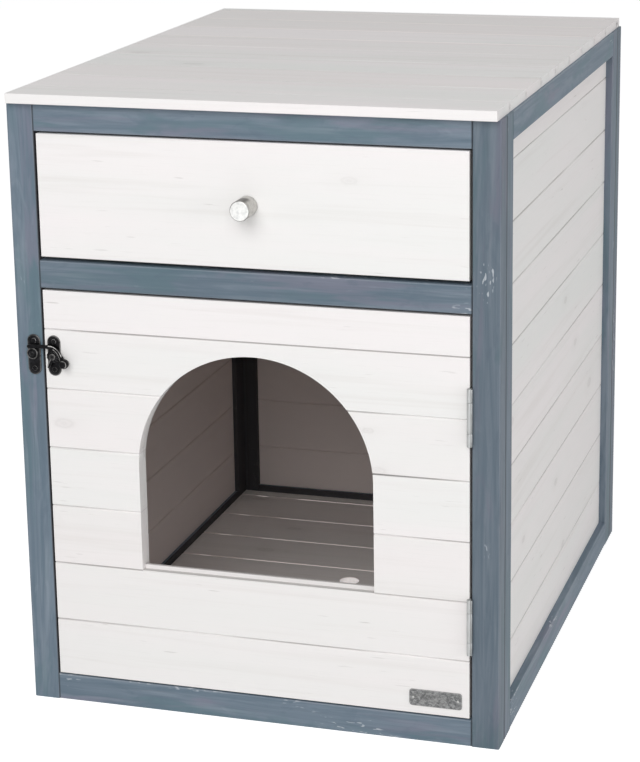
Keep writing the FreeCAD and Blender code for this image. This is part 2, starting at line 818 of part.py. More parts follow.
def runners(holes):
    stops = []
    for side, (inward, sign) in SIDES.items():
        points = [("0", "0"), ("runner_base_wide", "0"), ("runner_base_wide", "runner_base_thick"),
                  ("runner_upright_thick", "runner_base_thick"),
                  ("runner_upright_thick", "runner_base_thick + runner_upright_high"),
                  ("0", "runner_base_thick + runner_upright_high")]
        sketch = doc.addObject("Sketcher::SketchObject", f"{side}_runner_section")
        draw_outline(sketch, points)
        at = (f"{sign}side_inner", None, "mid_rail_top - runner_base_thick")
        runner = extrude(f"{side}_runner", sketch, inward, UP, at, ("member_thick", "back_plane"), None)
        keep(cut(f"{side}_runner_bored", runner, holes), f"{side}_drawer_runner")
        near, far = f"{sign}runner_face", f"{sign}(side_inner - runner_base_wide)"
        across_x = (near, far) if side == "left" else (far, near)
        stops.append(block(f"{side}_drawer_stop", across_x,
                           ("drawer_end + stop_block_gap", "drawer_end + stop_block_gap + stop_block_long"),
                           ("mid_rail_top", "mid_rail_top + stop_block_high")))
    keep(compound("drawer_stops", stops), "drawer_stops")


def drawer(screws, dowels, knob_bolt):
    holes = compound("drawer_holes", [screws, dowels, knob_bolt])
    groove_low = "drawer_groove_up"
    groove_high = "drawer_groove_up + drawer_bottom_thick + drawer_bottom_slack"
    notch = ("far y", groove_low, groove_high, "drawer_groove_deep")
    lower = "(drawer_low - drawer_front_low)"
    front_notch = ("far y", f"{groove_low} + {lower}", f"{groove_high} + {lower}", "drawer_groove_deep")
    front = bar("drawer_front_stock", UP, BACK, (None, "0", "drawer_front_low"),
                ("-drawer_front_half", "drawer_front_half"), "drawer_front_high - drawer_front_low",
                "drawer_front_thick", front_notch, ease="small_ease")
    keep(cut("drawer_front_bored", front, holes), "drawer_front")
    for side, (inward, sign) in SIDES.items():
        board = bar(f"drawer_{side}_stock", UP, inward, (f"{sign}drawer_half", None, "drawer_low"),
                    ("drawer_front_thick", "drawer_end"), "drawer_side_high", "drawer_side_thick",
                    notch, ease="small_ease")
        keep(cut(f"drawer_{side}_bored", board, holes), f"drawer_{side}_side")
    inner = "(drawer_half - drawer_side_thick)"
    back = bar("drawer_back_stock", UP, FRONT, (None, "drawer_end", "drawer_low"), (f"-{inner}", inner),
               "drawer_side_high", "drawer_side_thick", notch, ease="small_ease")
    keep(cut("drawer_back_bored", back, holes), "drawer_back")
    reach = "(drawer_groove_deep - drawer_bottom_slack)"
    bottom = block("drawer_bottom_panel", (f"-({inner} + {reach})", f"{inner} + {reach}"),
                   (f"drawer_front_thick - {reach}", f"drawer_end - drawer_side_thick + {reach}"),
                   ("drawer_bottom_low", "drawer_bottom_low + drawer_bottom_thick"))
    keep(bottom, "drawer_bottom")
    knob_outline = [("0", "0"), ("knob_radius - knob_ease", "0"), ("knob_radius", "knob_ease"),
                    ("knob_radius", "knob_length - knob_ease"),
                    ("knob_radius - knob_ease", "knob_length"), ("0", "knob_length")]
    knob = turned("knob_turned", turned_sketch("knob_section", knob_outline), ("0", "0", "knob_z"), FRONT)
    keep(cut("knob_bored", knob, knob_bolt), "drawer_knob")


# Door

def arch_cutter():
    sketch = doc.addObject("Sketcher::SketchObject", "arch_section")
    draw_arch(sketch)
    return extrude("arch_cutter", sketch, RIGHT, UP, ("-arch_radius", None, "arch_sill"),
                   ("-cutter_past", "door_thick + cutter_past"), None)


def door_boards(holes):
    """Boards below, beside and above the doorway; those beside it are in two pieces."""
    arch = arch_cutter()
    face = (None, "0", "joint")
    groups = {"door_lower_boards": [], "door_left_boards": [], "door_right_boards": [],
              "door_arch_boards": [], "door_top_board": []}
    runs = {"door_left_boards": ("-door_half", "0"), "door_right_boards": ("0", "door_half")}
    whole = ("-door_half", "door_half")
    laid = {run: lay_boards(f"door_wall_{k}", UP, BACK, face, run, DOOR_LINES, "wall_cover", "door_thick")
            for k, run in enumerate([whole, runs["door_left_boards"], runs["door_right_boards"]])}
    for k, (low, high) in enumerate(zip(DOOR_LINES, DOOR_LINES[1:])):
        if value(f"({high}) - arch_sill") < SLIVER:
            groups["door_lower_boards"].append(laid[whole][k])
        elif value(f"({low}) - arch_top") > -SLIVER:
            groups["door_top_board"].append(laid[whole][k])
        elif value(f"({high}) - arch_top") > SLIVER:
            groups["door_arch_boards"].append(cut(f"door_arch_{k}", laid[whole][k], arch))
        else:
            for label, run in runs.items():
                groups[label].append(cut(f"{label}_{k}", laid[run][k], arch))
    for label, boards in groups.items():
        bored = [cut(f"{label}_bored_{k}", board, holes) for k, board in enumerate(boards)]
        keep(compound(label, bored), label)


def door_battens(holes):
    battens = []
    run = ("door_low + door_batten_inset", "door_high - door_batten_inset")
    for side, (inward, sign) in SIDES.items():
        batten = bar(f"{side}_door_batten", -inward, BACK,
                     (f"{sign}door_batten_inner", "door_thick", None), run,
                     "door_batten_wide", "door_batten_thick", ease="small_ease")
        battens.append(cut(f"{side}_door_batten_bored", batten, holes))
    keep(compound("door_battens", battens), "door_battens")


def door_stop():
    """A rebated strip behind the latch side, which the closed door's back meets."""
    reach = "door_stop_behind + member_thick - door_thick - door_stop_gap"
    rebate = "member_face - member_thick"
    points = [("0", "0"), ("door_stop_wide", "0"), ("door_stop_wide", reach), (rebate, reach),
              (rebate, "door_stop_behind"), ("0", "door_stop_behind")]
    sketch = doc.addObject("Sketcher::SketchObject", "door_stop_section")
    draw_outline(sketch, points)
    at = ("-side_inner", "member_thick + door_stop_behind", None)
    run = ("door_low + door_stop_inset", "door_high - door_stop_inset")
    keep(extrude("door_stop_strip", sketch, RIGHT, FRONT, at, run, None), "door_stop")


# Hinges

def hinge_leaf(name, low, leaf_x, knuckles, screws):
    """A leaf in the gap beside the door, its knuckles round the hinge axis and its screw holes."""
    high = f"({low}) + hinge_long"
    things = [block(f"{name}_flat", leaf_x, ("0", "leaf_wide"), (low, high))]
    pin_room = []
    for k, (bottom, top_end) in enumerate(knuckles):
        at = ("hinge_x", "-hinge_axis_out", bottom)
        length = f"({top_end}) - ({bottom})"
        things.append(rod(f"{name}_knuckle_{k}", at, UP, "knuckle_radius", length))
        things.append(block(f"{name}_neck_{k}", leaf_x, ("-hinge_axis_out", "0"), (bottom, top_end)))
        pin_room.append(rod(f"{name}_bore_{k}", at, UP, "hinge_pin_radius + hinge_pin_slack", length))
    solid = cut(f"{name}_pierced", fuse(f"{name}_whole", things), compound(f"{name}_bores", pin_room))
    return cut(name, solid, screws)


def hinges(frame_screws, door_screws):
    frame_leaves, door_leaves, pins = [], [], []
    for name, low in hinge_lows().items():
        high = f"{low} + hinge_long"
        ends = [(low, f"{low} + knuckle_short"), (f"{high} - knuckle_short", high)]
        middle = [(f"{low} + knuckle_short + knuckle_gap", f"{high} - knuckle_short - knuckle_gap")]
        frame_leaves.append(hinge_leaf(f"{name}_frame_leaf", low,
                                       ("opening_half - leaf_thick", "opening_half"), ends, frame_screws))
        door_leaves.append(hinge_leaf(f"{name}_door_leaf", low,
                                      ("door_half", "door_half + leaf_thick"), middle, door_screws))
        pins.append(rod(f"{name}_hinge_pin", ("hinge_x", "-hinge_axis_out", low), UP,
                        "hinge_pin_radius", "hinge_long"))
    keep(compound("hinge_frame_leaves", frame_leaves), "hinge_frame_leaves")
    keep(compound("hinge_door_leaves", door_leaves), "hinge_door_leaves")
    keep(compound("hinge_pins", pins), "hinge_pins")


# Latch

def flat_plate(name, at, draw, thick, ease, corner=None):
    """A flat plate on the front, with its front edge chamfered and maybe rounded corners."""
    body = doc.addObject("PartDesign::Body", name)
    outline = body_sketch(body, name + "_outline")
    draw(outline)
    pad = body.newObject("PartDesign::Pad", name + "_sheet")
    pad.Profile = outline
    bind(pad, "Length", thick)
    doc.recompute()
    last = pad
    if corner:
        last = body.newObject("PartDesign::Fillet", name + "_corners")
        upright = [f"Edge{k}" for k, edge in enumerate(pad.Shape.Edges, start=1)
                   if abs(edge.tangentAt(edge.FirstParameter).z) > ALONG]
        last.Base = (pad, upright)
        bind(last, "Radius", corner)
        doc.recompute()
    front = value(thick)
    rim = [f"Edge{k}" for k, edge in enumerate(last.Shape.Edges, start=1)
           if all(abs(vertex.Z - front) < NEAR for vertex in edge.Vertexes)]
    eased = body.newObject("PartDesign::Chamfer", name + "_eased")
    eased.Base = (last, rim)
    bind(eased, "Size", ease)
    body.Tip = eased
    place(body, RIGHT, UP, at)
    return body


def latch_plate(name, x, screws):
    def draw(sketch):
        draw_slot(sketch, "latch_plate_wide", "latch_plate_long")
    at = (f"{x} - latch_plate_wide / 2", "0", "latch_height - latch_plate_long / 2")
    plate = flat_plate(name + "_sheet", at, draw, "latch_plate_thick", "latch_plate_ease")
    return cut(name + "_pierced", plate, screws)


def latch(strike_screws, plate_screws, rivet):
    face = "catch_out - catch_boss_high"
    catch_outline = [("0", "0"), ("catch_radius", "0"), ("catch_radius", f"{face} - catch_ease"),
                     ("catch_radius - catch_ease", face), ("catch_boss_radius", face),
                     ("catch_boss_tip", "catch_out"), ("0", "catch_out")]
    catch = turned("latch_catch", turned_sketch("latch_catch_section", catch_outline),
                   ("catch_x", "0", "catch_z"), FRONT)
    strike = latch_plate("latch_strike", "strike_x", strike_screws)
    keep(fuse("latch_strike_whole", [strike, catch]), "latch_strike_plate")
    holes = compound("latch_plate_cutters", [plate_screws, rivet])
    keep(latch_plate("latch_door_plate", "latch_x", holes), "latch_plate")


def latch_rivet():
    """The rivet that the arm turns on, from inside the door to its round head."""
    head = "(arm_front + rivet_slack)"
    outline = [("0", "0"), ("rivet_radius", "0"), ("rivet_radius", f"rivet_deep + {head}"),
               ("rivet_head_radius", f"rivet_deep + {head}"),
               ("rivet_head_radius - rivet_head_ease", f"rivet_deep + {head} + rivet_head_high"),
               ("0", f"rivet_deep + {head} + rivet_head_high")]
    sketch = turned_sketch("latch_rivet_section", outline)
    return keep(turned("latch_rivet_turned", sketch, ("latch_x", "rivet_deep", "latch_height"), FRONT),
                "latch_rivet")


def latch_arm():
    """A cast arm: hub, bow over the hub, bar that rests on the catch, ball grip and tail."""
    back = "-arm_back"
    hub_back = "-(latch_plate_thick + arm_hub_gap)"
    bow_x, bow_z = "latch_x - arm_bow_left", "latch_height - arm_bow_down"
    centre = (bow_x, back, bow_z)
    bow_from = math.radians(value("arm_bow_from"))
    bow_start = Vector(math.cos(bow_from), 0, math.sin(bow_from))
    bow = cut("arm_bow", rod("arm_bow_outer", centre, FRONT, "arm_bow_radius", "arm_thick", bow_start,
                             value("arm_bow_sweep")),
              rod("arm_bow_inner", centre, FRONT, "arm_bow_radius - arm_bow_wide", "arm_thick"))
    bar_low, bar_high = f"{bow_z} + arm_bow_radius - arm_bow_wide", f"{bow_z} + arm_bow_radius"
    bridge = block("arm_bar", ("arm_bar_end", bow_x), ("-arm_front", back), (bar_low, bar_high))
    tip = rod("arm_tip", ("arm_bar_end", back, f"({bar_low}) + arm_bow_wide / 2"), FRONT,
              "arm_bow_wide / 2", "arm_thick")
    hub = rod("arm_hub", ("latch_x", hub_back, "latch_height"), FRONT, "arm_hub_radius",
              "arm_front - latch_plate_thick - arm_hub_gap")
    ball_at = ("latch_x + arm_ball_right", "-arm_ball_out", "latch_height - arm_ball_down")
    ball = doc.addObject("Part::Sphere", "arm_ball")
    bind(ball, "Radius", "arm_ball_radius")
    place(ball, RIGHT, BACK, ball_at)
    neck_start = Vector(value("arm_hub_radius"), -value("arm_front - arm_neck_radius"),
                        value("arm_neck_up"))
    neck_end = Vector(value("arm_ball_right"), -value("arm_ball_out"), -value("arm_ball_down"))
    neck_way = neck_end - neck_start
    neck_at = (f"latch_x + {neck_start.x}", f"{neck_start.y}", f"latch_height + {neck_start.z}")
    neck = rod("arm_neck", neck_at, neck_way.normalize(), "arm_neck_radius",
               str((neck_end - neck_start).Length))
    tail_end = Vector(-value("arm_tail_left"), 0, -value("arm_tail_down"))
    tail_mid = "-(arm_back + arm_thick / 2)"
    tail = rod("arm_tail", ("latch_x", tail_mid, "latch_height"), Vector(tail_end).normalize(),
               "arm_tail_radius", str(tail_end.Length))
    tail_tip = doc.addObject("Part::Sphere", "arm_tail_tip")
    bind(tail_tip, "Radius", "arm_tail_tip_radius")
    place(tail_tip, RIGHT, BACK, ("latch_x - arm_tail_left", tail_mid, "latch_height - arm_tail_down"))
    solid = fuse("arm_whole", [hub, bow, bridge, tip, ball, neck, tail, tail_tip])
    room = rod("arm_bore", ("latch_x", "0", "latch_height"), FRONT, "rivet_radius + rivet_slack",
               "arm_front + cutter_past")
    keep(cut("arm_pierced", solid, room), "latch_arm")


# Blank plate

def plate_pins():
    places = []
    for x in ("plate_left + plate_pin_inset", "plate_right - plate_pin_inset"):
        places.append((x, "plate_pin_deep", "plate_low + plate_high / 2"))
    head = "plate_pin_deep + plate_thick"
    outline = [("0", "0"), ("plate_pin_radius", "0"), ("plate_pin_radius", head),
               ("plate_pin_head", head), ("plate_pin_head_tip", f"{head} + plate_pin_head_high"),
               ("0", f"{head} + plate_pin_head_high")]
    sketch = turned_sketch("plate_pin_section", outline)
    pins = [turned(f"plate_pin_{k}", sketch, at, FRONT) for k, at in enumerate(places)]
    return keep(compound("plate_pins", pins), "plate_pins")


def blank_plate(pins):
    def draw(sketch):
        draw_outline(sketch, section("plate_wide", "plate_high"))
    plate = flat_plate("blank_plate_sheet", ("plate_left", "0", "plate_low"), draw,
                       "plate_thick", "plate_ease", "plate_corner")
    keep(cut("blank_plate_pierced", plate, pins), "blank_plate")


# Checking and writing

def check_document():
    for thing in doc.Objects:
        if any(word in thing.State for word in ("Invalid", "Error")):
            raise RuntimeError(f"{thing.Label} failed: {thing.State}")
    for node in nodes:
        if node.Shape.isNull() or not node.Shape.isValid():
            raise RuntimeError(f"{node.Label} has no valid shape")
        if not node.Shape.Solids:
            raise RuntimeError(f"{node.Label} has no solid")


def write_parts():
    os.makedirs("parts", exist_ok=True)
    for node in nodes:
        node.Shape.exportStep(os.path.join("parts", node.Label + ".step"))
    solids = sum(len(node.Shape.Solids) for node in nodes)
    print(f"{len(nodes)} nodes, {solids} solids")


sheet = make_sheet()

WALL_LINES = joints("wall_low", "wall_high", "wall_first_joint", "wall_cover")
TOP_LINES = joints("-top_front_over", "frame_depth", "top_first_joint", "top_cover")
FLOOR_LINES = joints("member_thick", "back_plane", "floor_first_joint", "floor_cover")
DOOR_LINES = joints("door_low", "door_high", "door_last_joint", "wall_cover", up=False)

dowel_group = frame_dowels()
hinge_frame_screws, hinge_door_screws = hinge_screws()
strike_screws, latch_plate_screws = latch_screws()
runner_screw_group = runner_screws()
board_screw_group = board_screws()
batten_screw_group = door_batten_screws()
drawer_dowels, drawer_screws = drawer_fixings()
knob_bolt = knob_screw()
rivet = latch_rivet()
pins = plate_pins()

frame_holes = compound("frame_holes", [dowel_group, hinge_frame_screws, strike_screws, runner_screw_group])
door_holes = compound("door_holes", [hinge_door_screws, latch_plate_screws, batten_screw_group, rivet, pins])

front_frame(frame_holes)
for side_name in SIDES:
    side_frame(side_name, frame_holes)
back_frame()
top(board_screw_group)
floor(board_screw_group)
runners(runner_screw_group)
drawer(drawer_screws, drawer_dowels, knob_bolt)
door_boards(door_holes)
door_battens(door_holes)
door_stop()
hinges(hinge_frame_screws, hinge_door_screws)
latch(strike_screws, latch_plate_screws, rivet)
latch_arm()
blank_plate(pins)

doc.recompute()
check_document()
write_parts()
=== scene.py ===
import math

import bmesh
import bpy
from mathutils import Matrix, Vector
from mathutils.kdtree import KDTree


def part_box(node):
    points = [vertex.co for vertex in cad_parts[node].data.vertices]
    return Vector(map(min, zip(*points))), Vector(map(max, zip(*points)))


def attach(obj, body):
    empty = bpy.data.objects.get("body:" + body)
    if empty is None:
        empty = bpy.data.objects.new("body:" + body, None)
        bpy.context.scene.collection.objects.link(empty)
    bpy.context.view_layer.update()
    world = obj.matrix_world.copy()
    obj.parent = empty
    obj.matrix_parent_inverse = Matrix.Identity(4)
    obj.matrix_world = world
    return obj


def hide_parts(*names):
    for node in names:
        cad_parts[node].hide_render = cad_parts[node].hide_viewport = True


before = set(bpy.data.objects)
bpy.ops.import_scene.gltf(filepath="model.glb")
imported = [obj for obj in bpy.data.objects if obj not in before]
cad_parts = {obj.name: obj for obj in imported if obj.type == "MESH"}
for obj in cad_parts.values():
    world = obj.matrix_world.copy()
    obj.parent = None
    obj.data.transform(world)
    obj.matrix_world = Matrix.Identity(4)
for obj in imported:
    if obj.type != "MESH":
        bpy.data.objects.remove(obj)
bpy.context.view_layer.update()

# Litter box enclosure: stained frames, whitewashed boards, a drawer with a turned knob and a
# door with an arched doorway, on two butt hinges and a swing latch.
# Metres. X to the right, Y away from the front, Z up.

MM = 0.001
WELD = 1e-6                 # corners nearer than this are one
OUT, IN, RIGHT, UP = Vector((0, -1, 0)), Vector((0, 1, 0)), Vector((1, 0, 0)), Vector((0, 0, 1))
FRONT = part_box("front_left_stile")[0].y


def srgb(red, green, blue):
    """A colour given in 0 to 255 screen values, as the light values that shaders take."""
    parts = [part / 255 for part in (red, green, blue)]
    lights = [part / 12.92 if part < 0.04 else ((part + 0.055) / 1.055) ** 2.4 for part in parts]
    return (*lights, 1)


def shaded(shade):
    """The same for the colours of a finish that is lighter or darker as a whole."""
    return lambda red, green, blue: srgb(red * shade, green * shade, blue * shade)


# Node trees

def by(operation):
    """A method that adds a Math node for a value and those after it."""
    return lambda value, *others: value.math(operation, value, *others)


def turned_round(operation):
    """The same with the value after the other one."""
    return lambda value, other: value.math(operation, other, value)


class Value:
    """An output of a node. Arithmetic on it adds Math nodes to its tree."""

    def __init__(self, nodes, socket):
        self.nodes, self.socket = nodes, socket

    def output(self, name):
        return Value(self.nodes, self.socket.node.outputs[name])

    def math(self, operation, *values):
        return self.nodes.node("ShaderNodeMath", {"operation": operation}, dict(enumerate(values)))

    __add__, __radd__ = by("ADD"), turned_round("ADD")
    __sub__, __rsub__ = by("SUBTRACT"), turned_round("SUBTRACT")
    __mul__, __rmul__ = by("MULTIPLY"), turned_round("MULTIPLY")
    __truediv__, __abs__ = by("DIVIDE"), by("ABSOLUTE")
    sin, floor, root = by("SINE"), by("FLOOR"), by("SQRT")
    most, least = by("MAXIMUM"), by("MINIMUM")

    def __neg__(self):
        return self * -1

    def rise(self, low, high):
        """0 below low, 1 above high, and a smooth slope between them."""
        return self.nodes.node("ShaderNodeMapRange", {"interpolation_type": "SMOOTHSTEP"},
                               {"Value": self, "From Min": low, "From Max": high})

    def past(self, edge):
        """0 before an edge and 1 behind it, with half a millimetre between."""
        return self.rise(edge, edge + 0.5 * MM)


class Nodes:
    """A node tree in the making."""

    def __init__(self, tree):
        self.tree = tree
        tree.nodes.clear()

    def node(self, kind, settings=None, inputs=None, output=0):
        """Add a node: its settings first, then a value or a link for each named input."""
        made = self.tree.nodes.new(kind)
        for name, setting in (settings or {}).items():
            setattr(made, name, setting)
        for name, source in (inputs or {}).items():
            sources = source if isinstance(source, list) else [source]
            for each in sources:
                if isinstance(each, Value):
                    self.tree.links.new(each.socket, made.inputs[name])
                else:
                    made.inputs[name].default_value = each
        return Value(self, made.outputs[output] if made.outputs else None)

    def split(self, vector):
        parts = self.node("ShaderNodeSeparateXYZ", inputs={0: vector})
        return [parts, parts.output("Y"), parts.output("Z")]

    def join(self, x, y, z):
        return self.node("ShaderNodeCombineXYZ", inputs={0: x, 1: y, 2: z})


class Finish(Nodes):
    """A procedural material in the making, in the object's own coordinates."""

    def __init__(self, name):
        self.material = bpy.data.materials.new(name)
        self.material.use_nodes = True
        super().__init__(self.material.node_tree)
        self.spot = self.node("ShaderNodeTexCoord", output="Object")

    def noise(self, place, detail=2, rough=0.5, bend=0.0):
        """Cloudy noise from 0 to 1, at scale 1 in the given place."""
        return self.node("ShaderNodeTexNoise", {"noise_dimensions": "3D"},
                         {"Vector": place, "Scale": 1, "Detail": detail, "Roughness": rough,
                          "Distortion": bend})

    def mix(self, share, first, second, blend="MIX"):
        settings = {"data_type": "RGBA", "blend_type": blend}
        return self.node("ShaderNodeMix", settings, {0: share, 6: first, 7: second}, output=2)

    def layered(self, colour, *layers):
        """Lay colours over a first one, each given with the share that it covers."""
        for share, over in layers:
            colour = self.mix(share, colour, over)
        return colour

    def luck(self, number):
        """Three steady random numbers for a whole number."""
        chance = self.node("ShaderNodeTexWhiteNoise", {"noise_dimensions": "1D"}, {"W": number},
                           output="Color")
        parts = self.node("ShaderNodeSeparateColor", inputs={0: chance})
        return [parts, parts.output("Green"), parts.output("Blue")]

    def bump(self, height, distance, strength=1.0):
        return self.node("ShaderNodeBump", inputs={"Height": height, "Distance": distance,
                                                   "Strength": strength})

    def shine(self, colour, roughness, normal=None, **constants):
        """End the material in a Principled shader."""
        inputs = {"Base Color": colour, "Roughness": roughness}
        inputs.update({name.replace("_", " "): value for name, value in constants.items()})
        if normal:
            inputs["Normal"] = normal
        shader = self.node("ShaderNodeBsdfPrincipled", inputs=inputs)
        self.node("ShaderNodeOutputMaterial", inputs={"Surface": shader})
        return self.material


class Growth(Nodes):
    """A Geometry Nodes tree in the making, with named inputs and one shape as its result."""

    def __init__(self, name, sockets, result):
        super().__init__(bpy.data.node_groups.new(name, "GeometryNodeTree"))
        self.result = result
        for label, kind in sockets:
            self.tree.interface.new_socket(label, in_out="INPUT", socket_type="NodeSocket" + kind)
        self.tree.interface.new_socket(result, in_out="OUTPUT", socket_type="NodeSocketGeometry")
        given = self.node("NodeGroupInput")
        self.given = [given.output(label) for label, _ in sockets]

    def moved(self, shape, place, turn=(0, 0, 0)):
        return self.node("GeometryNodeTransform", inputs={"Geometry": shape, "Translation": place,
                                                          "Rotation": turn})

    def carved(self, shape, tool):
        return self.node("GeometryNodeMeshBoolean", {"operation": "DIFFERENCE", "solver": "EXACT"},
                         {"Mesh 1": shape, "Mesh 2": tool})

    def named(self, label, kind):
        """An attribute that the points bring along."""
        return self.node("GeometryNodeInputNamedAttribute", {"data_type": kind}, {"Name": label})

    def done(self, shape, finish):
        """End the tree in the shape, with flat faces and its material."""
        flat = self.node("GeometryNodeSetShadeSmooth",
                         inputs={"Geometry": shape, "Shade Smooth": False})
        dressed = self.node("GeometryNodeSetMaterial",
                            inputs={"Geometry": flat, "Material": finish})
        self.node("NodeGroupOutput", inputs={self.result: dressed})
        return self.tree


AXES = "xyz"

# Sizes of the part that the finishes and the rows of boards follow

HALF_WIDTH, DEPTH = 0.240, 0.620
MEMBER_FACE, MEMBER_THICK = 0.027, 0.023
ROOM_MIDDLE = FRONT + DEPTH / 2
ROOM_REACH = 0.2235
SILL_HEIGHT, HALF_DOORWAY = 0.147, 0.118
WALL_COVER, WALL_JOINT, DOOR_JOINT = 0.060, 0.077, 0.087
FLAT_COVER, TOP_JOINT, FLOOR_JOINT = 0.070, FRONT + 0.043, FRONT + 0.089
TOP_GAP, FLOOR_GAP = 0.35 * MM, 1.2 * MM
TONGUE_REACH, TONGUE_THICK = 4 * MM, 3.3 * MM
BATTEN_START, BATTEN_END, LEDGER_START = 0.1435, 0.1820, 0.1965
FLOOR_EDGE = 0.0192
HOLE_PLACE = Vector((-0.006, FRONT + 0.334, 0.016))
HOLE_RADIUS, HOLE_REACH = 11 * MM, 12.5 * MM


class Wood(Finish):
    """Wood whose grain runs along one axis, with boards or members side by side across it."""

    def __init__(self, name, along, across, seed):
        super().__init__(name)
        through = next(axis for axis in AXES if axis not in (along, across))
        self.place = dict(zip(AXES, self.split(self.spot)))
        self.run, self.width, self.depth = (self.place[axis] for axis in (along, across, through))
        self.way = dict(zip(AXES, self.split(self.node("ShaderNodeTexCoord", output="Normal"))))
        self.seed = seed

    def grain(self, along, across, detail=2, rough=0.5, bend=0.0, shift=0.0):
        """Noise stretched along the grain: how many times it changes in a metre, each way."""
        place = self.join((self.run + shift) * along, self.width * across + self.seed,
                          self.depth * across)
        return self.noise(place, detail, rough, bend)

    def edges(self):
        """1 on rounded edges, where the surface faces between two axes."""
        most = abs(self.way["x"]).most(abs(self.way["y"])).most(abs(self.way["z"]))
        return 1 - most.rise(0.88, 0.99)

    def seams(self):
        """1 on the lines where two members meet on the front and at the cabinet's corners, where
        shade is painted into the gaps.
        """
        def line(away, half):
            return 1 - abs(away).rise(half, half * 2.4)

        deep = self.place["y"] - FRONT
        corner = line(deep - MEMBER_THICK, MM).most(line(deep - (DEPTH - MEMBER_THICK), MM))
        front = line(abs(self.place["x"]) - (HALF_WIDTH - MEMBER_FACE), 0.5 * MM)
        on_side = corner * abs(self.way["x"]).rise(0.3, 0.5)
        return on_side.most(front * abs(self.way["y"]).rise(0.4, 0.6))

    def inside(self, front=0.0):
        """1 on the surfaces that face the room within the walls, behind a place from the front."""
        x, y = self.place["x"], self.place["y"] - ROOM_MIDDLE
        outward = (self.way["x"] * x + self.way["y"] * y).rise(-0.02, -0.005)
        behind = self.place["y"].rise(FRONT + front - MM, FRONT + front)
        return (1 - outward) * behind * (1 - abs(x).past(ROOM_REACH))


# Finishes of this object

def whitewash(name, along, across, joint=0.0, cover=1.0, seed=0.0, shade=1.0, knots=1.0, top_shade=0.0,
              glow=None):
    """Thin white paint on softwood boards: faint grain, growth rings, knots, brush streaks, dark
    joints of dirt and painted shade, and where asked painted shade on upward faces and painted
    light from below.
    """
    wood, white = Wood(name, along, across, seed), shaded(shade)
    board = ((wood.width - joint) / cover).floor() + seed
    slide, tint, order = wood.luck(board)
    shift = slide * 7
    clouds = wood.grain(1.8, 16, detail=3, shift=shift)
    rings = wood.grain(2.4, 85, detail=4, rough=0.55, bend=0.5, shift=shift)
    fibres = wood.grain(22, 800, detail=2, shift=shift)
    ticks = wood.grain(34, 460, detail=1, shift=shift).rise(0.70, 0.80)
    patch = wood.grain(9, 40, detail=1, shift=shift + 3).rise(0.5, 0.62)
    flat = wood.join((wood.run + shift) * 6.2, (wood.width + order) * 13.5, 0)
    cell = wood.node("ShaderNodeTexVoronoi", {"voronoi_dimensions": "2D", "feature": "F1"},
                     {"Vector": flat, "Scale": 1})
    chance = wood.node("ShaderNodeSeparateColor", inputs={0: cell.output("Color")})
    size = 0.035 + 0.05 * chance.output("Green")
    ragged = wood.noise(wood.join(wood.run * 260, wood.width * 260, 0), detail=2)
    reach = (cell + 0.03 * (ragged - 0.5)) / size
    chosen = chance.rise(0.76, 0.80) * knots
    knot = (1 - reach.rise(0.55, 1.15)) * chosen
    halo = (1 - reach.rise(0.8, 3.2)) * chosen
    knot_rings = 0.5 + 0.5 * (reach * 12).sin()
    # Dark lines along the board joints: dirt settled there, and painted shade in the grooves.
    place = (wood.width - joint) / cover
    nearest = (place + 0.5).floor()
    grime_and_joint_shade = 1 - (abs(place - nearest) * cover).rise(0.3 * MM, MM)
    depth = wood.noise(wood.join(wood.run * 5, nearest * 3.7 + seed, 0), detail=1).rise(0.35, 0.62)
    # Painted shade on the upward faces, the sill among them, darkening where the lamps light them
    # from above. Where it is given, no joint line is drawn along the sill.
    up = wood.way["z"].rise(0.8, 0.95)
    if top_shade:
        level = 1 - abs(wood.place["z"] - SILL_HEIGHT).rise(2 * MM, 3 * MM)
        between = 1 - abs(wood.place["x"]).rise(HALF_DOORWAY - MM, HALF_DOORWAY + MM)
        grime_and_joint_shade = grime_and_joint_shade * (1 - level * between)
    colour = wood.layered(
        white(243, 239, 239),
        (clouds.rise(0.3, 0.7), white(237, 238, 236)),
        (tint * 0.6, white(238, 232, 231)),
        (rings.rise(0.5, 0.75) * 0.13, srgb(196, 188, 180)),
        (fibres.rise(0.55, 0.8) * 0.07, srgb(188, 184, 178)),
        (ticks * patch * 0.32, srgb(150, 144, 138)),
        (halo * 0.06, srgb(182, 178, 172)),
        (knot * (0.1 + 0.08 * knot_rings), srgb(148, 142, 136)),
        (grime_and_joint_shade * (1 - up) * (0.1 + 0.48 * depth), srgb(118, 113, 110)),
        (up * top_shade, srgb(168, 165, 163)),
        (wood.inside(MEMBER_THICK) * 0.85, srgb(242, 230, 226)))
    height = 0.5 * rings + 0.35 * fibres - 0.25 * knot
    # Painted light: a glow gives an emission colour, as if light came up through the floor.
    light = {"Emission_Color": glow(wood), "Emission_Strength": 1.0} if glow else {}
    return wood.shine(colour, 0.62 + 0.16 * clouds, wood.bump(height, 0.00025, 0.55), **light)


def painted_light_from_below(wood):
    """Painted light: emission on the walls of the floor's joints and hole, where no batten shuts it
    off, as if light came up from below.
    """
    reach = abs(wood.place["x"])
    batten = reach.past(BATTEN_START) * (1 - reach.past(BATTEN_END))
    clear = (1 - batten) * (1 - reach.past(LEDGER_START))
    wall = 1 - abs(wood.way["z"]).rise(0.3, 0.5)
    hole = 1 - abs(wood.place["x"] - HOLE_PLACE.x).past(HOLE_REACH)
    near = 1 - abs(wood.place["y"] - HOLE_PLACE.y).past(HOLE_REACH)
    low = 1 - wood.place["z"].past(FLOOR_EDGE)
    return wall * clear * low * (0.24 + 0.04 * hole * near)


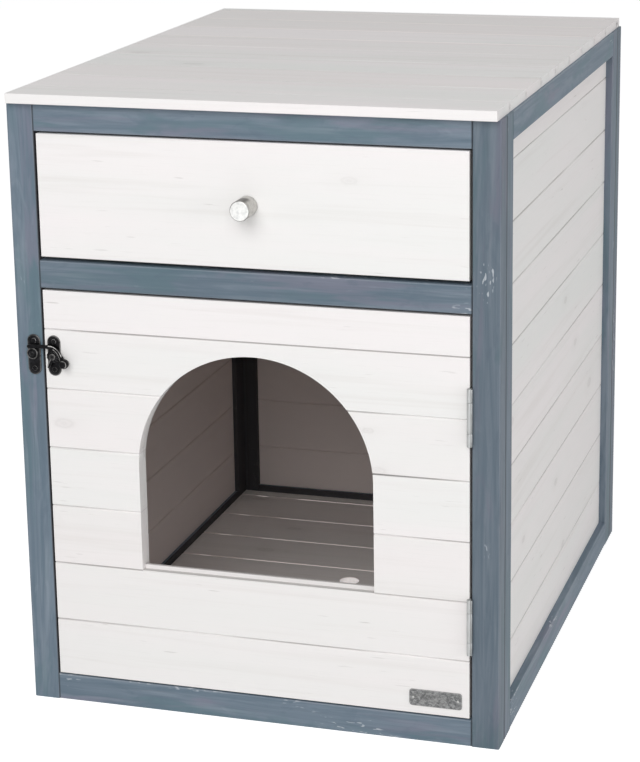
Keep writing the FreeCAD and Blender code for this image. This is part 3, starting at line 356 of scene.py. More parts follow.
def stain(name, along, across, seed=0.0, shade=1.0, scuff=None):
    """Blue-grey stain on softwood: streaks and clouds along the grain, worn edges, pale chips, and
    painted shade in the seams and on faces turned into the room.

    A scuff is the x, z and reach of a place with more chips.
    """
    wood, blue = Wood(name, along, across, seed), shaded(shade)
    streaks = wood.grain(3.2, 58, detail=4, rough=0.7, bend=1.2)
    fine = wood.grain(16, 520, detail=2)
    teal = wood.grain(7.5, 30, detail=3, rough=0.6, bend=0.6, shift=11)
    violet = wood.grain(5, 38, detail=3, rough=0.6, bend=0.6, shift=4)
    dabs = wood.grain(24, 62, detail=3, rough=0.6, bend=1.0, shift=2)
    pale = wood.grain(7, 90, detail=2, shift=7)
    marks = wood.grain(120, 430, detail=1)
    region = wood.grain(11, 26, detail=1, shift=5)
    if scuff:
        x, z, reach = scuff
        aside, above = wood.place["x"] - x, (wood.place["z"] - z) * 0.6
        away = (aside * aside + above * above).root()
        near = 1 - away.rise(0.4 * reach, reach)
        region = region + 0.25 * near
        marks = marks + 0.055 * near
    chips = marks.rise(0.63, 0.71) * region.rise(0.63, 0.69)
    low = 1 - wood.place["z"].rise(0.02, 0.10)
    edge_chips = wood.edges() * marks.rise(0.56, 0.64) * (region + 0.03 * low).rise(0.62, 0.70)
    colour = wood.layered(
        blue(92, 109, 123),
        (streaks.rise(0.33, 0.68), blue(117, 130, 143)),
        (teal.rise(0.50, 0.62) * 0.7, blue(88, 112, 122)),
        (violet.rise(0.53, 0.66) * 0.6, blue(120, 120, 137)),
        (dabs.rise(0.54, 0.66) * 0.28, blue(84, 101, 117)),
        (0.16 - 0.16 * dabs.rise(0.28, 0.38), blue(142, 152, 163)),
        (pale.rise(0.58, 0.74) * 0.3, blue(150, 160, 170)),
        (fine.rise(0.5, 0.85) * 0.28, blue(80, 93, 105)),
        (wood.edges() * fine.rise(0.2, 0.6) * 0.45, blue(150, 157, 166)),
        (chips.most(edge_chips) * 0.62, srgb(200, 205, 211)),
        # Painted shade in the gaps where members meet on the front and at the corners.
        (wood.seams() * 0.75, srgb(38, 44, 50)),
        # Painted shade: the faces turned into the room are darkened.
        (wood.inside() * 0.92, srgb(56, 53, 54)))
    height = 0.6 * streaks + 0.4 * fine - 0.4 * chips
    rough = 0.55 + 0.2 * wood.grain(3.5, 13, detail=2)
    return wood.shine(colour, rough, wood.bump(height, 0.00025, 0.6))


def bare_wood(name, along, across, seed=0.0):
    """Pale softwood under a thin wash, for pieces inside and below."""
    wood = Wood(name, along, across, seed)
    rings = wood.grain(2.6, 90, detail=4, rough=0.6, bend=0.7)
    fibres = wood.grain(24, 700, detail=2)
    clouds = wood.grain(2, 12)
    colour = wood.layered(
        srgb(226, 214, 198),
        (rings.rise(0.35, 0.7), srgb(206, 186, 160)),
        (clouds * 0.5, srgb(228, 220, 210)),
        (fibres.rise(0.5, 0.8) * 0.25, srgb(176, 152, 124)))
    return wood.shine(colour, 0.6 + 0.15 * clouds, wood.bump(rings + fibres, 0.0002, 0.5))


def satin_metal(name, colour, roughness, lines=900):
    """Rolled or drawn metal with fine tool lines along Z."""
    metal = Finish(name)
    x, y, z = metal.split(metal.spot)
    tool = metal.noise(metal.join(x * lines, y * lines, z * lines / 14), detail=2)
    smudge = metal.noise(metal.join(x * 90, y * 90, z * 90), detail=3)
    tone = metal.layered(
        colour,
        (smudge.rise(0.3, 0.75) * 0.35, srgb(150, 150, 149)),
        (tool.rise(0.45, 0.8) * 0.25, srgb(128, 128, 127)))
    rough = roughness + 0.12 * smudge + 0.06 * tool
    return metal.shine(tone, rough, metal.bump(tool, 0.00002, 0.5), Metallic=1.0)


def satin_nickel(name, centre):
    """Turned knob with tool lines and smudges, and painted reflections set by the way the surface
    faces: a bright face, a dark rim, a greyer side and a dark streak on top.
    """
    metal = Finish(name)
    x, y, z = metal.split(metal.spot)
    way = metal.split(metal.node("ShaderNodeTexCoord", output="Normal"))
    across = ((x - centre.x) * (x - centre.x) + (z - centre.z) * (z - centre.z)).root()
    tool = metal.noise(metal.join(across * 2700, y * 900, 0), detail=2)
    smudge = metal.noise(metal.join(x * 260, y * 260, z * 260), detail=3)
    # Painted reflections: the face, rim and side get their tones by the way they face.
    face = abs(way[1]).rise(0.90, 0.995)
    side = 1 - abs(way[1]).rise(0.05, 0.3)
    # Painted reflection: a dark streak on the top of the side, near the face.
    dark_reflection = way[2].rise(0.72, 0.93) * side * (centre.y - y).rise(0.008, 0.013)
    bright = metal.mix(smudge.rise(0.4, 0.7), srgb(226, 226, 224), srgb(202, 203, 202))
    tone = metal.layered(
        srgb(200, 198, 194),
        (smudge.rise(0.35, 0.7), srgb(176, 174, 170)),
        (face, bright),
        ((1 - face) * (1 - side) * 0.7, srgb(112, 112, 111)),
        (dark_reflection * 0.85, srgb(62, 60, 58)),
        (tool.rise(0.45, 0.8) * 0.2, srgb(138, 138, 136)))
    rough = 0.24 + 0.12 * smudge + 0.06 * tool
    return metal.shine(tone, rough, metal.bump(tool, 0.00002, 0.5), Metallic=1.0)


def antique_black(name):
    """Black antique finish on cast metal, bright where the attribute says so: rubbed edges, and
    painted highlights on edges and ridges.
    """
    metal = Finish(name)
    x, y, z = metal.split(metal.spot)
    wear = metal.node("ShaderNodeAttribute", {"attribute_name": "wear"}, output="Fac")
    grain = metal.noise(metal.join(x * 1500, y * 1500, z * 1500), detail=3)
    patches = metal.noise(metal.join(x * 260, y * 260, z * 260), detail=3)
    # Rubbed metal and painted highlights on the edges.
    rubbed_and_highlit = wear * (0.3 + 0.8 * patches.rise(0.3, 0.65))
    tone = metal.layered(
        srgb(12, 12, 14),
        (patches.rise(0.4, 0.8), srgb(30, 30, 33)),
        (rubbed_and_highlit.least(1), srgb(190, 188, 186)))
    rough = 0.30 + 0.2 * grain - 0.08 * wear
    return metal.shine(tone, rough, metal.bump(grain + patches, 0.00006, 0.5), Metallic=0.85)


def pewter(name):
    """Aged plate metal, mottled and brushed, darker in its hollows."""
    metal = Finish(name)
    x, y, z = metal.split(metal.spot)
    mottle = metal.noise(metal.join(x * 330, y * 330, z * 420), detail=4, rough=0.65, bend=0.8)
    brushed = metal.noise(metal.join((x + z) * 240, 0, (z - x) * 2400), detail=2)
    clouds = metal.noise(metal.join(x * 60, 0, z * 60), detail=2)
    wear = metal.node("ShaderNodeAttribute", {"attribute_name": "wear"}, output="Fac")
    tone = metal.layered(
        srgb(70, 71, 73),
        (mottle.rise(0.35, 0.68), srgb(148, 149, 149)),
        (clouds.rise(0.35, 0.65) * 0.5, srgb(118, 118, 117)),
        (brushed.rise(0.45, 0.75) * 0.3, srgb(172, 172, 170)),
        # Bright on sharp edges: rubbing, and painted highlights.
        (wear * 0.8, srgb(190, 190, 188)))
    height = 0.8 * mottle + 0.3 * brushed
    return metal.shine(tone, 0.36 + 0.2 * mottle, metal.bump(height, 0.00012, 0.7), Metallic=0.8)


# Pieces made here

def shown(name, mesh):
    """Put a mesh in the scene as a piece at the origin."""
    piece = bpy.data.objects.new(name, mesh)
    bpy.context.scene.collection.objects.link(piece)
    return piece


def stand_for(piece, node, body, material=None):
    """Let a piece ride a body in place of a CAD node. A grown piece has its material already."""
    if material:
        piece.data.materials.clear()
        piece.data.materials.append(material)
    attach(piece, body)
    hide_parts(node)


def seen_middle(low, high, deep):
    """The middle of a box as seen from the front, at a place along Y."""
    return Vector(((low.x + high.x) / 2, deep, (low.z + high.z) / 2))


def settle(piece):
    """Keep what a piece's modifiers make of it as its plain mesh, and take them off."""
    graph = bpy.context.evaluated_depsgraph_get()
    piece.data = bpy.data.meshes.new_from_object(piece.evaluated_get(graph), depsgraph=graph)
    piece.modifiers.clear()


def welded(mesh):
    """A mesh opened for editing, with corners in one place made one."""
    bm = bmesh.new()
    bm.from_mesh(mesh)
    bmesh.ops.remove_doubles(bm, verts=bm.verts, dist=WELD)
    return bm


def closed(bm, name):
    """A new mesh from an edited one."""
    mesh = bpy.data.meshes.new(name)
    bm.to_mesh(mesh)
    bm.free()
    return mesh


def shade(mesh, degrees=35):
    """Smooth shading with the edges sharper than an angle kept sharp."""
    mesh.polygons.foreach_set("use_smooth", [True] * len(mesh.polygons))
    mesh.set_sharp_from_angle(angle=math.radians(degrees))


def skin(bm, rings):
    """Close a surface through rings of points, with a cap at each end."""
    rows = [[bm.verts.new(point) for point in ring] for ring in rings]
    for row, following in zip(rows, rows[1:]):
        for k in range(len(row)):
            m = (k + 1) % len(row)
            bm.faces.new((row[k], row[m], following[m], following[k]))
    bm.faces.new(rows[0][::-1])
    bm.faces.new(rows[-1])


def mesh_from(name, shells, degrees=35):
    """One mesh from several closed shells, each a list of rings, with its normals outward."""
    bm = bmesh.new()
    for rings in shells:
        skin(bm, rings)
    bmesh.ops.recalc_face_normals(bm, faces=bm.faces)
    mesh = closed(bm, name)
    shade(mesh, degrees)
    return mesh


def turning(centre, axis, profile, count=48, lobes=0, lobe_depth=0.0):
    """Rings for a turned piece: pairs of radius and distance along the axis from the centre."""
    side = axis.orthogonal().normalized()
    other = axis.cross(side)
    rings = []
    for radius, along in profile:
        ring = []
        for k in range(count):
            turn = 2 * math.pi * k / count
            reach = radius * (1 + lobe_depth * math.cos(lobes * turn))
            spoke = side * math.cos(turn) + other * math.sin(turn)
            ring.append(centre + axis * along + spoke * reach)
        rings.append(ring)
    return rings


def swept(path, widths, depths, count=28, square=0.42):
    """Rings for a bar with soft corners that follows a path in front of the door."""
    def soft(value):
        return math.copysign(abs(value) ** square, value)

    rings = []
    for k, point in enumerate(path):
        before, after = path[max(k - 1, 0)], path[min(k + 1, len(path) - 1)]
        way = (after - before).normalized()
        side = OUT.cross(way).normalized()
        proud = way.cross(side)
        ring = []
        for step in range(count):
            turn = 2 * math.pi * step / count
            ring.append(point + side * soft(math.cos(turn)) * widths[k]
                        + proud * soft(math.sin(turn)) * depths[k])
        rings.append(ring)
    return rings


def bent(points, steps=6):
    """A smooth path through points, by Catmull-Rom."""
    path = []
    ends = [points[0]] + points + [points[-1]]
    for a, b, c, d in zip(ends, ends[1:], ends[2:], ends[3:]):
        for step in range(steps):
            t = step / steps
            path.append(0.5 * ((2 * b) + (c - a) * t + (2 * a - 5 * b + 4 * c - d) * t ** 2
                               + (3 * b - a - 3 * c + d) * t ** 3))
    return path + [points[-1]]


def faded(values, count):
    """Numbers spread evenly over a longer list, straight between the given ones."""
    spread = []
    for k in range(count):
        place = k / (count - 1) * (len(values) - 1)
        low = min(int(place), len(values) - 2)
        spread.append(values[low] + (values[low + 1] - values[low]) * (place - low))
    return spread


def wear_and_highlight_on(mesh, reach=0.25, low=0.12, high=0.5):
    """Write an attribute that is 1 where the surface is sharply convex: rubbed edges, which also
    carry painted highlights.
    """
    bm = bmesh.new()
    bm.from_mesh(mesh)
    bm.normal_update()
    sharp = []
    for vert in bm.verts:
        bends = [vert.normal.dot(vert.co - edge.other_vert(vert).co) / max(edge.calc_length(), 1e-9)
                 for edge in vert.link_edges]
        sharp.append(sum(bends) / max(len(bends), 1))
    soft = [sum([sharp[vert.index]] + [reach * sharp[edge.other_vert(vert).index]
                                       for edge in vert.link_edges])
            / (1 + reach * len(vert.link_edges)) for vert in bm.verts]
    bm.free()
    wear = mesh.attributes.new("wear", "FLOAT", "POINT")
    for k, value in enumerate(soft):
        wear.data[k].value = min(max((value - low) / (high - low), 0), 1)


def highlight_along(mesh, lines, reach):
    """Raise the attribute near lines of points: painted highlights along the arm's ridges and round
    its grip.
    """
    points = [point for line in lines for point in bent(line, 12)]
    tree = KDTree(len(points))
    for k, point in enumerate(points):
        tree.insert(point, k)
    tree.balance()
    wear = mesh.attributes["wear"].data
    for k, vert in enumerate(mesh.vertices):
        near = 1 - tree.find(vert.co)[2] / reach
        wear[k].value = max(wear[k].value, min(max(near * 1.6, 0), 0.7))


def eased(node, width, segments=2, degrees=40):
    """A copy of a CAD node with its sharp edges rounded over. It stands for the node."""
    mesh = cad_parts[node].data.copy()
    bm = welded(mesh)
    bmesh.ops.dissolve_limit(bm, angle_limit=math.radians(1), verts=bm.verts, edges=bm.edges)
    bm.to_mesh(mesh)
    bm.free()
    piece = shown(node + "_eased", mesh)
    rounding = piece.modifiers.new("rounding", "BEVEL")
    rounding.width = width
    rounding.segments = segments
    rounding.limit_method = "ANGLE"
    rounding.angle_limit = math.radians(degrees)
    settle(piece)
    shade(piece.data, 50)
    for face in piece.data.polygons:
        face.use_smooth = max(map(abs, face.normal)) < 0.999
    return piece


def cut(piece, blocks):
    """Cut blocks out of a piece, each given as the matrix of a cube of size one."""
    bm = bmesh.new()
    for block in blocks:
        bmesh.ops.create_cube(bm, size=1, matrix=block)
    name = piece.name + "_cutter"
    cutter = shown(name, closed(bm, name))
    groove = piece.modifiers.new("groove", "BOOLEAN")
    groove.operation, groove.solver, groove.object = "DIFFERENCE", "EXACT", cutter
    settle(piece)
    bpy.data.objects.remove(cutter)


def solids(node):
    """The box of each separate solid of a CAD node, in the order of their low corners."""
    bm = welded(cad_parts[node].data)
    left = set(bm.verts)
    boxes = []
    while left:
        found, fringe = set(), [left.pop()]
        while fringe:
            vert = fringe.pop()
            found.add(vert)
            for edge in vert.link_edges:
                other = edge.other_vert(vert)
                if other in left:
                    left.remove(other)
                    fringe.append(other)
        corners = [vert.co.copy() for vert in found]
        boxes.append((Vector(map(min, zip(*corners))), Vector(map(max, zip(*corners)))))
    bm.free()
    return sorted(boxes, key=lambda box: tuple(box[0]))


# Screws: one tree sets a countersunk screw with two crossed slots at every place of a node

def screw_tree():
    tree = Growth("countersunk_screws",
                  [("Places", "Geometry"), ("Head radius", "Float"), ("Head depth", "Float"),
                   ("Shank radius", "Float"), ("Length", "Float"), ("Seed", "Int"),
                   ("Finish", "Material")], "Screws")
    places, head, deep, shank, long, seed, finish = tree.given

    def cone(top, bottom, depth, height):
        shape = tree.node("GeometryNodeMeshCone", {"fill_type": "NGON"},
                          {"Vertices": 32, "Radius Top": top, "Radius Bottom": bottom,
                           "Depth": depth})
        return tree.moved(shape, tree.join(0, 0, height))

    def slotted(shape):
        for slot in slots:
            shape = tree.carved(shape, slot)
        return shape

    rim = head * 0.12
    slot_size = tree.join(head * 1.1, head * 0.24, deep * 1.1)
    slots = [tree.moved(tree.node("GeometryNodeMeshCube", inputs={"Size": slot_size}), (0, 0, 0),
                        (0, 0, turn)) for turn in (0, math.pi / 2)]
    crown = slotted(cone(head - rim, head, rim, -rim))
    # The head's bevel and slot walls get the attribute: wear, and painted highlights on them.
    level = tree.split(tree.node("GeometryNodeInputNormal"))[2].rise(0.8, 0.95)
    slope = tree.node("GeometryNodeStoreNamedAttribute", {"data_type": "FLOAT", "domain": "FACE"},
                      {"Geometry": crown, "Name": "wear", "Value": 0.6 - 0.6 * level})
    sink = slotted(cone(head, shank, deep - rim, -deep))
    body = cone(shank, shank, long - deep - shank * 2, shank * 2 - long)
    point = cone(shank, shank * 0.12, shank * 2, -long)
    whole = tree.node("GeometryNodeJoinGeometry", inputs={"Geometry": [slope, sink, body, point]})
    upright = tree.node("FunctionNodeAlignRotationToVector", {"axis": "Z"},
                        {"Vector": tree.named("facing", "FLOAT_VECTOR")})
    chance = tree.node("FunctionNodeRandomValue", {"data_type": "FLOAT"}, {"Seed": seed}, output=1)
    twist = tree.node("FunctionNodeAxisAngleToRotation",
                      inputs={"Axis": (0, 0, 1), "Angle": chance * math.pi})
    turned = tree.node("FunctionNodeRotateRotation", {"rotation_space": "LOCAL"},
                       {"Rotation": upright, "Rotate By": twist})
    placed = tree.node("GeometryNodeInstanceOnPoints",
                       inputs={"Points": places, "Instance": whole, "Rotation": turned})
    return tree.done(tree.node("GeometryNodeRealizeInstances", inputs={"Geometry": placed}),
                     finish)


def grown(name, places, tree, inputs, **spread):
    """Run a tree on points with their own attributes, and keep the result as a plain mesh."""
    mesh = bpy.data.meshes.new(name + "_places")
    mesh.from_pydata(places, [], [])
    for label, values in spread.items():
        vectors = isinstance(values[0], Vector)
        kept = mesh.attributes.new(label, "FLOAT_VECTOR" if vectors else "FLOAT", "POINT")
        for k, value in enumerate(values):
            setattr(kept.data[k], "vector" if vectors else "value", value)
    piece = shown(name, mesh)
    growth = piece.modifiers.new("growth", "NODES")
    growth.node_group = tree
    for socket in tree.interface.items_tree:
        if socket.in_out == "INPUT" and socket.name in inputs:
            growth[socket.identifier] = inputs[socket.name]
    settle(piece)
    return piece


def screws(name, node, body, way, mirrored, material, slot, tree, seed):
    """Screws in place of a CAD node's, with their heads where the CAD heads are.

    The heads point along way. Mirrored ones point the other way in the left half.
    """
    boxes = solids(node)
    places, facings = [], []
    for low, high in boxes:
        middle = (low + high) / 2
        facing = way * math.copysign(1, middle.x) if mirrored else way
        places.append(middle + (high - low) / 2 * facing)
        facings.append(facing)
    spans = sorted(high - low for low, high in zip(*boxes[0]))
    radius = spans[0] / 2
    piece = grown(name, places, tree, {"Head radius": radius, "Head depth": radius * 0.6,
                                       "Shank radius": radius * 0.5, "Length": spans[-1],
                                       "Seed": seed, "Finish": material}, facing=facings)
    stand_for(piece, node, body)


# Boards: one tree lays a row of tongued and grooved boards, face up and side by side along Y

NOT_ZERO = 1e6              # makes any length but zero more than 1
MOST_JOINTS = 12


def board_tree():
    tree = Growth("board_row",
                  [("Places", "Geometry"), ("Cover", "Float"), ("Run", "Float"),
                   ("Thickness", "Float"), ("Ease", "Float"), ("Ease steps", "Int"),
                   ("Tongue reach", "Float"), ("Tongue thickness", "Float"),
                   ("Hole radius", "Float"), ("Hole place", "Vector"), ("Finish", "Material")],
                  "Boards")
    places, cover, run, thick, ease, steps, reach, tongue, hole, hole_place, finish = tree.given

    def beam(long, wide, high, y):
        cube = tree.node("GeometryNodeMeshCube", inputs={"Size": tree.join(long, wide, high)})
        return tree.moved(cube, tree.join(0, y, 0))

    section = tree.node("GeometryNodeCurvePrimitiveQuadrilateral", {"mode": "RECTANGLE"},
                        {"Width": cover, "Height": thick})
    section = tree.node("GeometryNodeFilletCurve", {"mode": "POLY"},
                        {"Curve": section, "Radius": ease, "Count": steps})
    line = tree.node("GeometryNodeCurvePrimitiveLine", {"mode": "POINTS"},
                     {"Start": tree.join(run * -0.5, 0, 0), "End": tree.join(run * 0.5, 0, 0)})
    plain = tree.node("GeometryNodeCurveToMesh", inputs={"Curve": line, "Profile Curve": section,
                                                         "Fill Caps": True})
    slack = 0.6 * MM
    groove = beam(run * 1.01, reach * 2 + slack, tongue + slack, cover * -0.5)
    strip = beam(run, reach + MM, tongue, (cover + reach - MM) * 0.5)
    index = tree.node("GeometryNodeInputIndex")
    count = tree.node("GeometryNodeAttributeDomainSize", {"component": "MESH"},
                      {"Geometry": places})
    wide, turn = tree.named("wide", "FLOAT"), tree.named("turn", "FLOAT_VECTOR")
    later = (index * reach * NOT_ZERO).least(1)
    rows = [tree.node("GeometryNodeInstanceOnPoints",
                      inputs={"Points": places, "Selection": chosen, "Instance": shape,
                              "Rotation": turn, "Scale": tree.join(1, wide / cover, 1)})
            for shape, chosen in ((plain, 1 - later), (tree.carved(plain, groove), later),
                                  (strip, (count - 1 - index) * reach))]
    row = tree.node("GeometryNodeRealizeInstances", inputs={
        "Geometry": tree.node("GeometryNodeJoinGeometry", inputs={"Geometry": rows})})
    drill = tree.node("GeometryNodeMeshCylinder", inputs={"Vertices": 56, "Radius": hole,
                                                          "Depth": thick * 3})
    pierced = tree.carved(row, tree.moved(drill, hole_place))
    row = tree.node("GeometryNodeSwitch", {"input_type": "GEOMETRY"},
                    {"Switch": hole * NOT_ZERO, "False": row, "True": pierced})
    return tree.done(row, finish)


def board_row(node, up, out, first, cover, tree, material, gap=0.0, **more):
    """Lay boards in place of a CAD node's, one after another along up, with their faces out."""
    low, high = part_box(node)
    along = up.cross(out)
    middle = (low + high) / 2
    size = high - low
    start, end = low.dot(up), high.dot(up)
    joints = [first + k * cover for k in range(-1, MOST_JOINTS)]
    lines = [start] + [joint for joint in joints if start + MM < joint < end - MM] + [end]
    turn = Vector(Matrix((along, up, out)).transposed().to_euler())
    places = [middle + up * ((a + b) / 2 - middle.dot(up)) for a, b in zip(lines, lines[1:])]
    wide = [b - a - gap for a, b in zip(lines, lines[1:])]
    inputs = {"Cover": cover, "Run": abs(size.dot(along)), "Thickness": abs(size.dot(out)),
              "Ease": 1.2 * MM, "Ease steps": 1, "Tongue reach": TONGUE_REACH,
              "Tongue thickness": TONGUE_THICK, "Hole radius": 0.0, "Finish": material}
    inputs.update(more)
    piece = grown(node + "_row", places, tree, inputs, wide=wide, turn=[turn] * len(places))
    stand_for(piece, node, "cabinet")


# Latch, knob and plate

def plate_rings(centre, half_wide, half_long, corner, steps, count=12):
    """Rings for a flat plate with round corners: pairs of inset and height above the wood."""
    rings = []
    for inset, height in steps:
        radius = max(corner - inset, 0.05 * MM)
        ring = []
        for quarter, (sx, sz) in enumerate(((1, 1), (-1, 1), (-1, -1), (1, -1))):
            mid_x = sx * (half_wide - corner)
            mid_z = sz * (half_long - corner)
            for k in range(count + 1):
                turn = math.pi / 2 * (quarter + k / count)
                ring.append(centre + Vector((mid_x + radius * math.cos(turn), -height,
                                             mid_z + radius * math.sin(turn))))
        rings.append(ring)
    return rings


LATCH_PLATE_WIDE, LATCH_PLATE_LONG = 13.6 * MM, 40.5 * MM
STRIKE_X, CATCH_SHIFT = -222.5 * MM, Vector((-1.3 * MM, 0, 1.3 * MM))
ARM_VOXEL, HIGHLIGHT_REACH, BARE_PLATE_CORNER = 0.2 * MM, 0.6 * MM, 3 * MM

# In millimetres: how far the arm stands out, and profiles of inset or radius and height

ARM_HEIGHT = 4.1
LATCH_PLATE_STEPS = [(0, 0), (0, 0.62), (0.18, 0.92), (0.55, 1.16), (0.95, 1.18), (1.3, 1.02),
                     (1.55, 0.84), (1.85, 0.84), (2.15, 0.98), (2.5, 1.0)]
CATCH_PROFILE = [(6.0, 0.8), (6.0, 2.0), (5.8, 2.8), (5.3, 3.3), (4.8, 3.4), (4.4, 3.1), (3.9, 2.9),
                 (3.4, 3.2), (2.8, 3.9), (2.0, 4.5), (1.2, 4.85), (0.7, 5.0), (0.2, 5.0)]
RIVET_PROFILE = [(2, 1.2), (2, 5.6), (3.3, 5.7), (3.4, 6.0), (3.2, 6.5), (2.7, 6.9), (1.9, 7.08),
                 (1.1, 7.1), (0.8, 6.95), (0.2, 6.9)]
HUB_PROFILE = [(5.9, 1.5), (6.3, 1.9), (6.4, 4.2), (5.9, 4.8), (5.0, 5.0), (4.6, 5.3), (3.8, 5.4),
               (3.2, 5.4)]
GRIP_PROFILE = [(1.5, 0), (3.0, 0.6), (4.1, 1.6), (4.7, 3.0), (4.8, 4.5), (4.7, 5.9), (4.2, 7.3),
                (3.6, 8.3), (3.1, 8.9), (2.2, 9.2), (0.4, 9.25)]
KNOB_PROFILE = [(8.9, 0), (9.3, 0.15), (9.62, 0.5), (9.7, 0.9), (9.7, 23.9), (9.6, 24.35),
                (9.35, 24.7), (8.95, 24.92), (8.5, 25), (0.3, 25)]
BARE_PLATE_STEPS = [(0, 0), (0, 0.5), (0.2, 0.85), (0.55, 0.98), (1.1, 1.0), (1.35, 0.9),
                    (1.6, 0.82), (2.0, 0.8)]
PLATE_PIN_PROFILE = [(0.9, -8.9), (1, -8.6), (1, 0.8), (1.3, 0.85), (1.25, 1.15), (1, 1.38),
                     (0.6, 1.48), (0.1, 1.5)]


def scaled(profile):
    return [(radius * MM, along * MM) for radius, along in profile]


def latch_plate_rings(centre):
    half_wide = LATCH_PLATE_WIDE / 2
    return plate_rings(centre, half_wide, LATCH_PLATE_LONG / 2, half_wide,
                       scaled(LATCH_PLATE_STEPS))


def add_latch_plates(black):
    """Both plates and the rivet. Gives the middle of the door's plate, where the arm turns."""
    pivot = seen_middle(*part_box("latch_plate"), FRONT)
    strike = Vector((STRIKE_X, FRONT, pivot.z))
    catch = strike + CATCH_SHIFT
    pieces = [("strike_plate_and_catch", "latch_strike_plate", "cabinet",
               [latch_plate_rings(strike), turning(catch, OUT, scaled(CATCH_PROFILE), 64)]),
              ("door_latch_plate", "latch_plate", "door", [latch_plate_rings(pivot)]),
              ("latch_rivet_head", "latch_rivet", "door",
               [turning(pivot, OUT, scaled(RIVET_PROFILE), 40)])]
    for name, node, body, shells in pieces:
        mesh = mesh_from(name, shells)
        wear_and_highlight_on(mesh, low=0.05, high=0.5)
        stand_for(shown(name, mesh), node, body, black)
    return pivot


def add_latch_arm(pivot, black):
    """The cast arm: a lobed hub, a bow round it that ends in the bar over the catch, and a grip."""
    def at(x, z, out=ARM_HEIGHT):
        return pivot + Vector((x * MM, -out * MM, z * MM))

    def highlight_line(out, *places):
        return [at(x, z, out) for x, z in places]

    def bar(places, widths, depths):
        path = bent([at(*place) for place in places])
        count = len(path)
        return swept(path, [w * MM for w in faded(widths, count)],
                     [d * MM for d in faded(depths, count)])

    shells = [
        bar([(-26.4, 8.2), (-23.5, 9.2), (-20, 9.3), (-14, 9.3), (-7, 9.3), (-3, 9.2), (0.4, 8.4),
             (3.6, 6.4), (6.2, 3.4), (7.9, 0), (8.5, -3), (8.3, -6), (7.2, -9)],
            [1.4, 1.75, 1.8, 1.8, 1.8, 1.75, 1.75, 1.75, 1.7, 1.7, 1.6, 1.4, 0.9],
            [1.2, 1.3, 1.3, 1.3, 1.3, 1.3, 1.3, 1.2, 1.0]),
        turning(pivot, OUT, scaled(HUB_PROFILE), 72, 12, 0.035),
        bar([(7.6, 1.4), (10, -1.2, 4.9), (11.6, -4.0, 6.0), (12.5, -5.9, 7)],
            [1.5, 1.5, 1.6, 2.0], [1.2, 1.3, 1.5, 1.8]),
        turning(at(12.5, -5.9, 2.5), OUT, scaled(GRIP_PROFILE), 40),
        bar([(-0.6, -1.5), (-2.2, -5.2), (-4.0, -9.0), (-5.1, -11.6)],
            [1.4, 1.7, 1.7, 1.1], [1.2, 1.3, 1.3, 1.1]),
    ]
    arm = shown("latch_arm_cast", mesh_from("latch_arm_cast", shells))
    remesh = arm.modifiers.new("cast", "REMESH")
    remesh.mode = "VOXEL"
    remesh.voxel_size = ARM_VOXEL
    smooth = arm.modifiers.new("fettled", "SMOOTH")
    smooth.factor = 0.5
    smooth.iterations = 2
    settle(arm)
    shade(arm.data, 180)
    wear_and_highlight_on(arm.data, reach=0.3, low=0.06, high=0.16)
    # Painted highlights along the bow's edges, round the grip and along the tail.
    highlight_lines = (
        highlight_line(5.35, (-4, 10.5), (1, 9.9), (4.7, 7.6), (7.5, 4.2), (9.3, 0.3), (9.9, -3)),
        highlight_line(5.35, (1.0, 7.1), (3.4, 5.0), (5.4, 2.2), (6.6, -0.8), (7.0, -4), (6.7, -7)),
        highlight_line(10.6, (11.0, -2.8), (12.6, -2.5), (14.6, -3.3), (15.8, -5.1), (15.8, -7.0),
              (14.7, -8.6)),
        highlight_line(5.3, (-2.4, -3.2), (-3.8, -6.2), (-5.2, -9.2), (-6.0, -11)),
    )
    highlight_along(arm.data, highlight_lines, HIGHLIGHT_REACH)
    stand_for(arm, "latch_arm", "latch_arm", black)


def add_knob():
    low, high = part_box("drawer_knob")
    centre = seen_middle(low, high, high.y)
    nickel = satin_nickel("satin_nickel", centre)
    mesh = mesh_from("drawer_knob_turned", [turning(centre, OUT, scaled(KNOB_PROFILE), 96)], 20)
    stand_for(shown("drawer_knob_turned", mesh), "drawer_knob", "drawer", nickel)


def add_blank_plate():
    """The small bare plate at the door's lower right corner, with its two pins."""
    low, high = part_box("blank_plate")
    centre = seen_middle(low, high, high.y)
    half = (high - low) / 2
    rings = plate_rings(centre, half.x, half.z, BARE_PLATE_CORNER, scaled(BARE_PLATE_STEPS), 8)
    mesh = mesh_from("bare_plate", [rings])
    wear_and_highlight_on(mesh, low=0.05, high=0.4)
    stand_for(shown("bare_plate", mesh), "blank_plate", "door", pewter("pewter"))
    shells = [turning(seen_middle(*box, FRONT), OUT, scaled(PLATE_PIN_PROFILE), 20)
              for box in solids("plate_pins")]
    mesh = mesh_from("plate_pin_heads", shells)
    steel = satin_metal("pin_steel", srgb(172, 172, 170), 0.35)
    stand_for(shown("plate_pin_heads", mesh), "plate_pins", "door", steel)


# Stage

AMBIENT = 0.38
FLOOR_LIFT = 0.66
FLOOR_REACH = 40
LAMP_AIM = Vector((0, 0, 0.3))
CAMERA_PLACE = Vector((0.6784, -2.2653, 0.9688))
CAMERA_TURNS = (17.221, 14.696, 0.916)      # yaw, pitch and roll in degrees


def seen_or_mirrored(nodes):
    """1 for rays from the camera and from mirrors and glass, 0 for the rest."""
    path = nodes.node("ShaderNodeLightPath")
    return path.most(path.output("Is Glossy Ray")).most(path.output("Is Transmission Ray"))


def add_world():
    world = bpy.data.worlds.new("studio")
    bpy.context.scene.world = world
    world.use_nodes = True
    nodes = Nodes(world.node_tree)
    strength = AMBIENT + (1 - AMBIENT) * seen_or_mirrored(nodes)
    light = nodes.node("ShaderNodeBackground", inputs={"Color": (1, 1, 1, 1), "Strength": strength})
    nodes.node("ShaderNodeOutputWorld", inputs={"Surface": light})


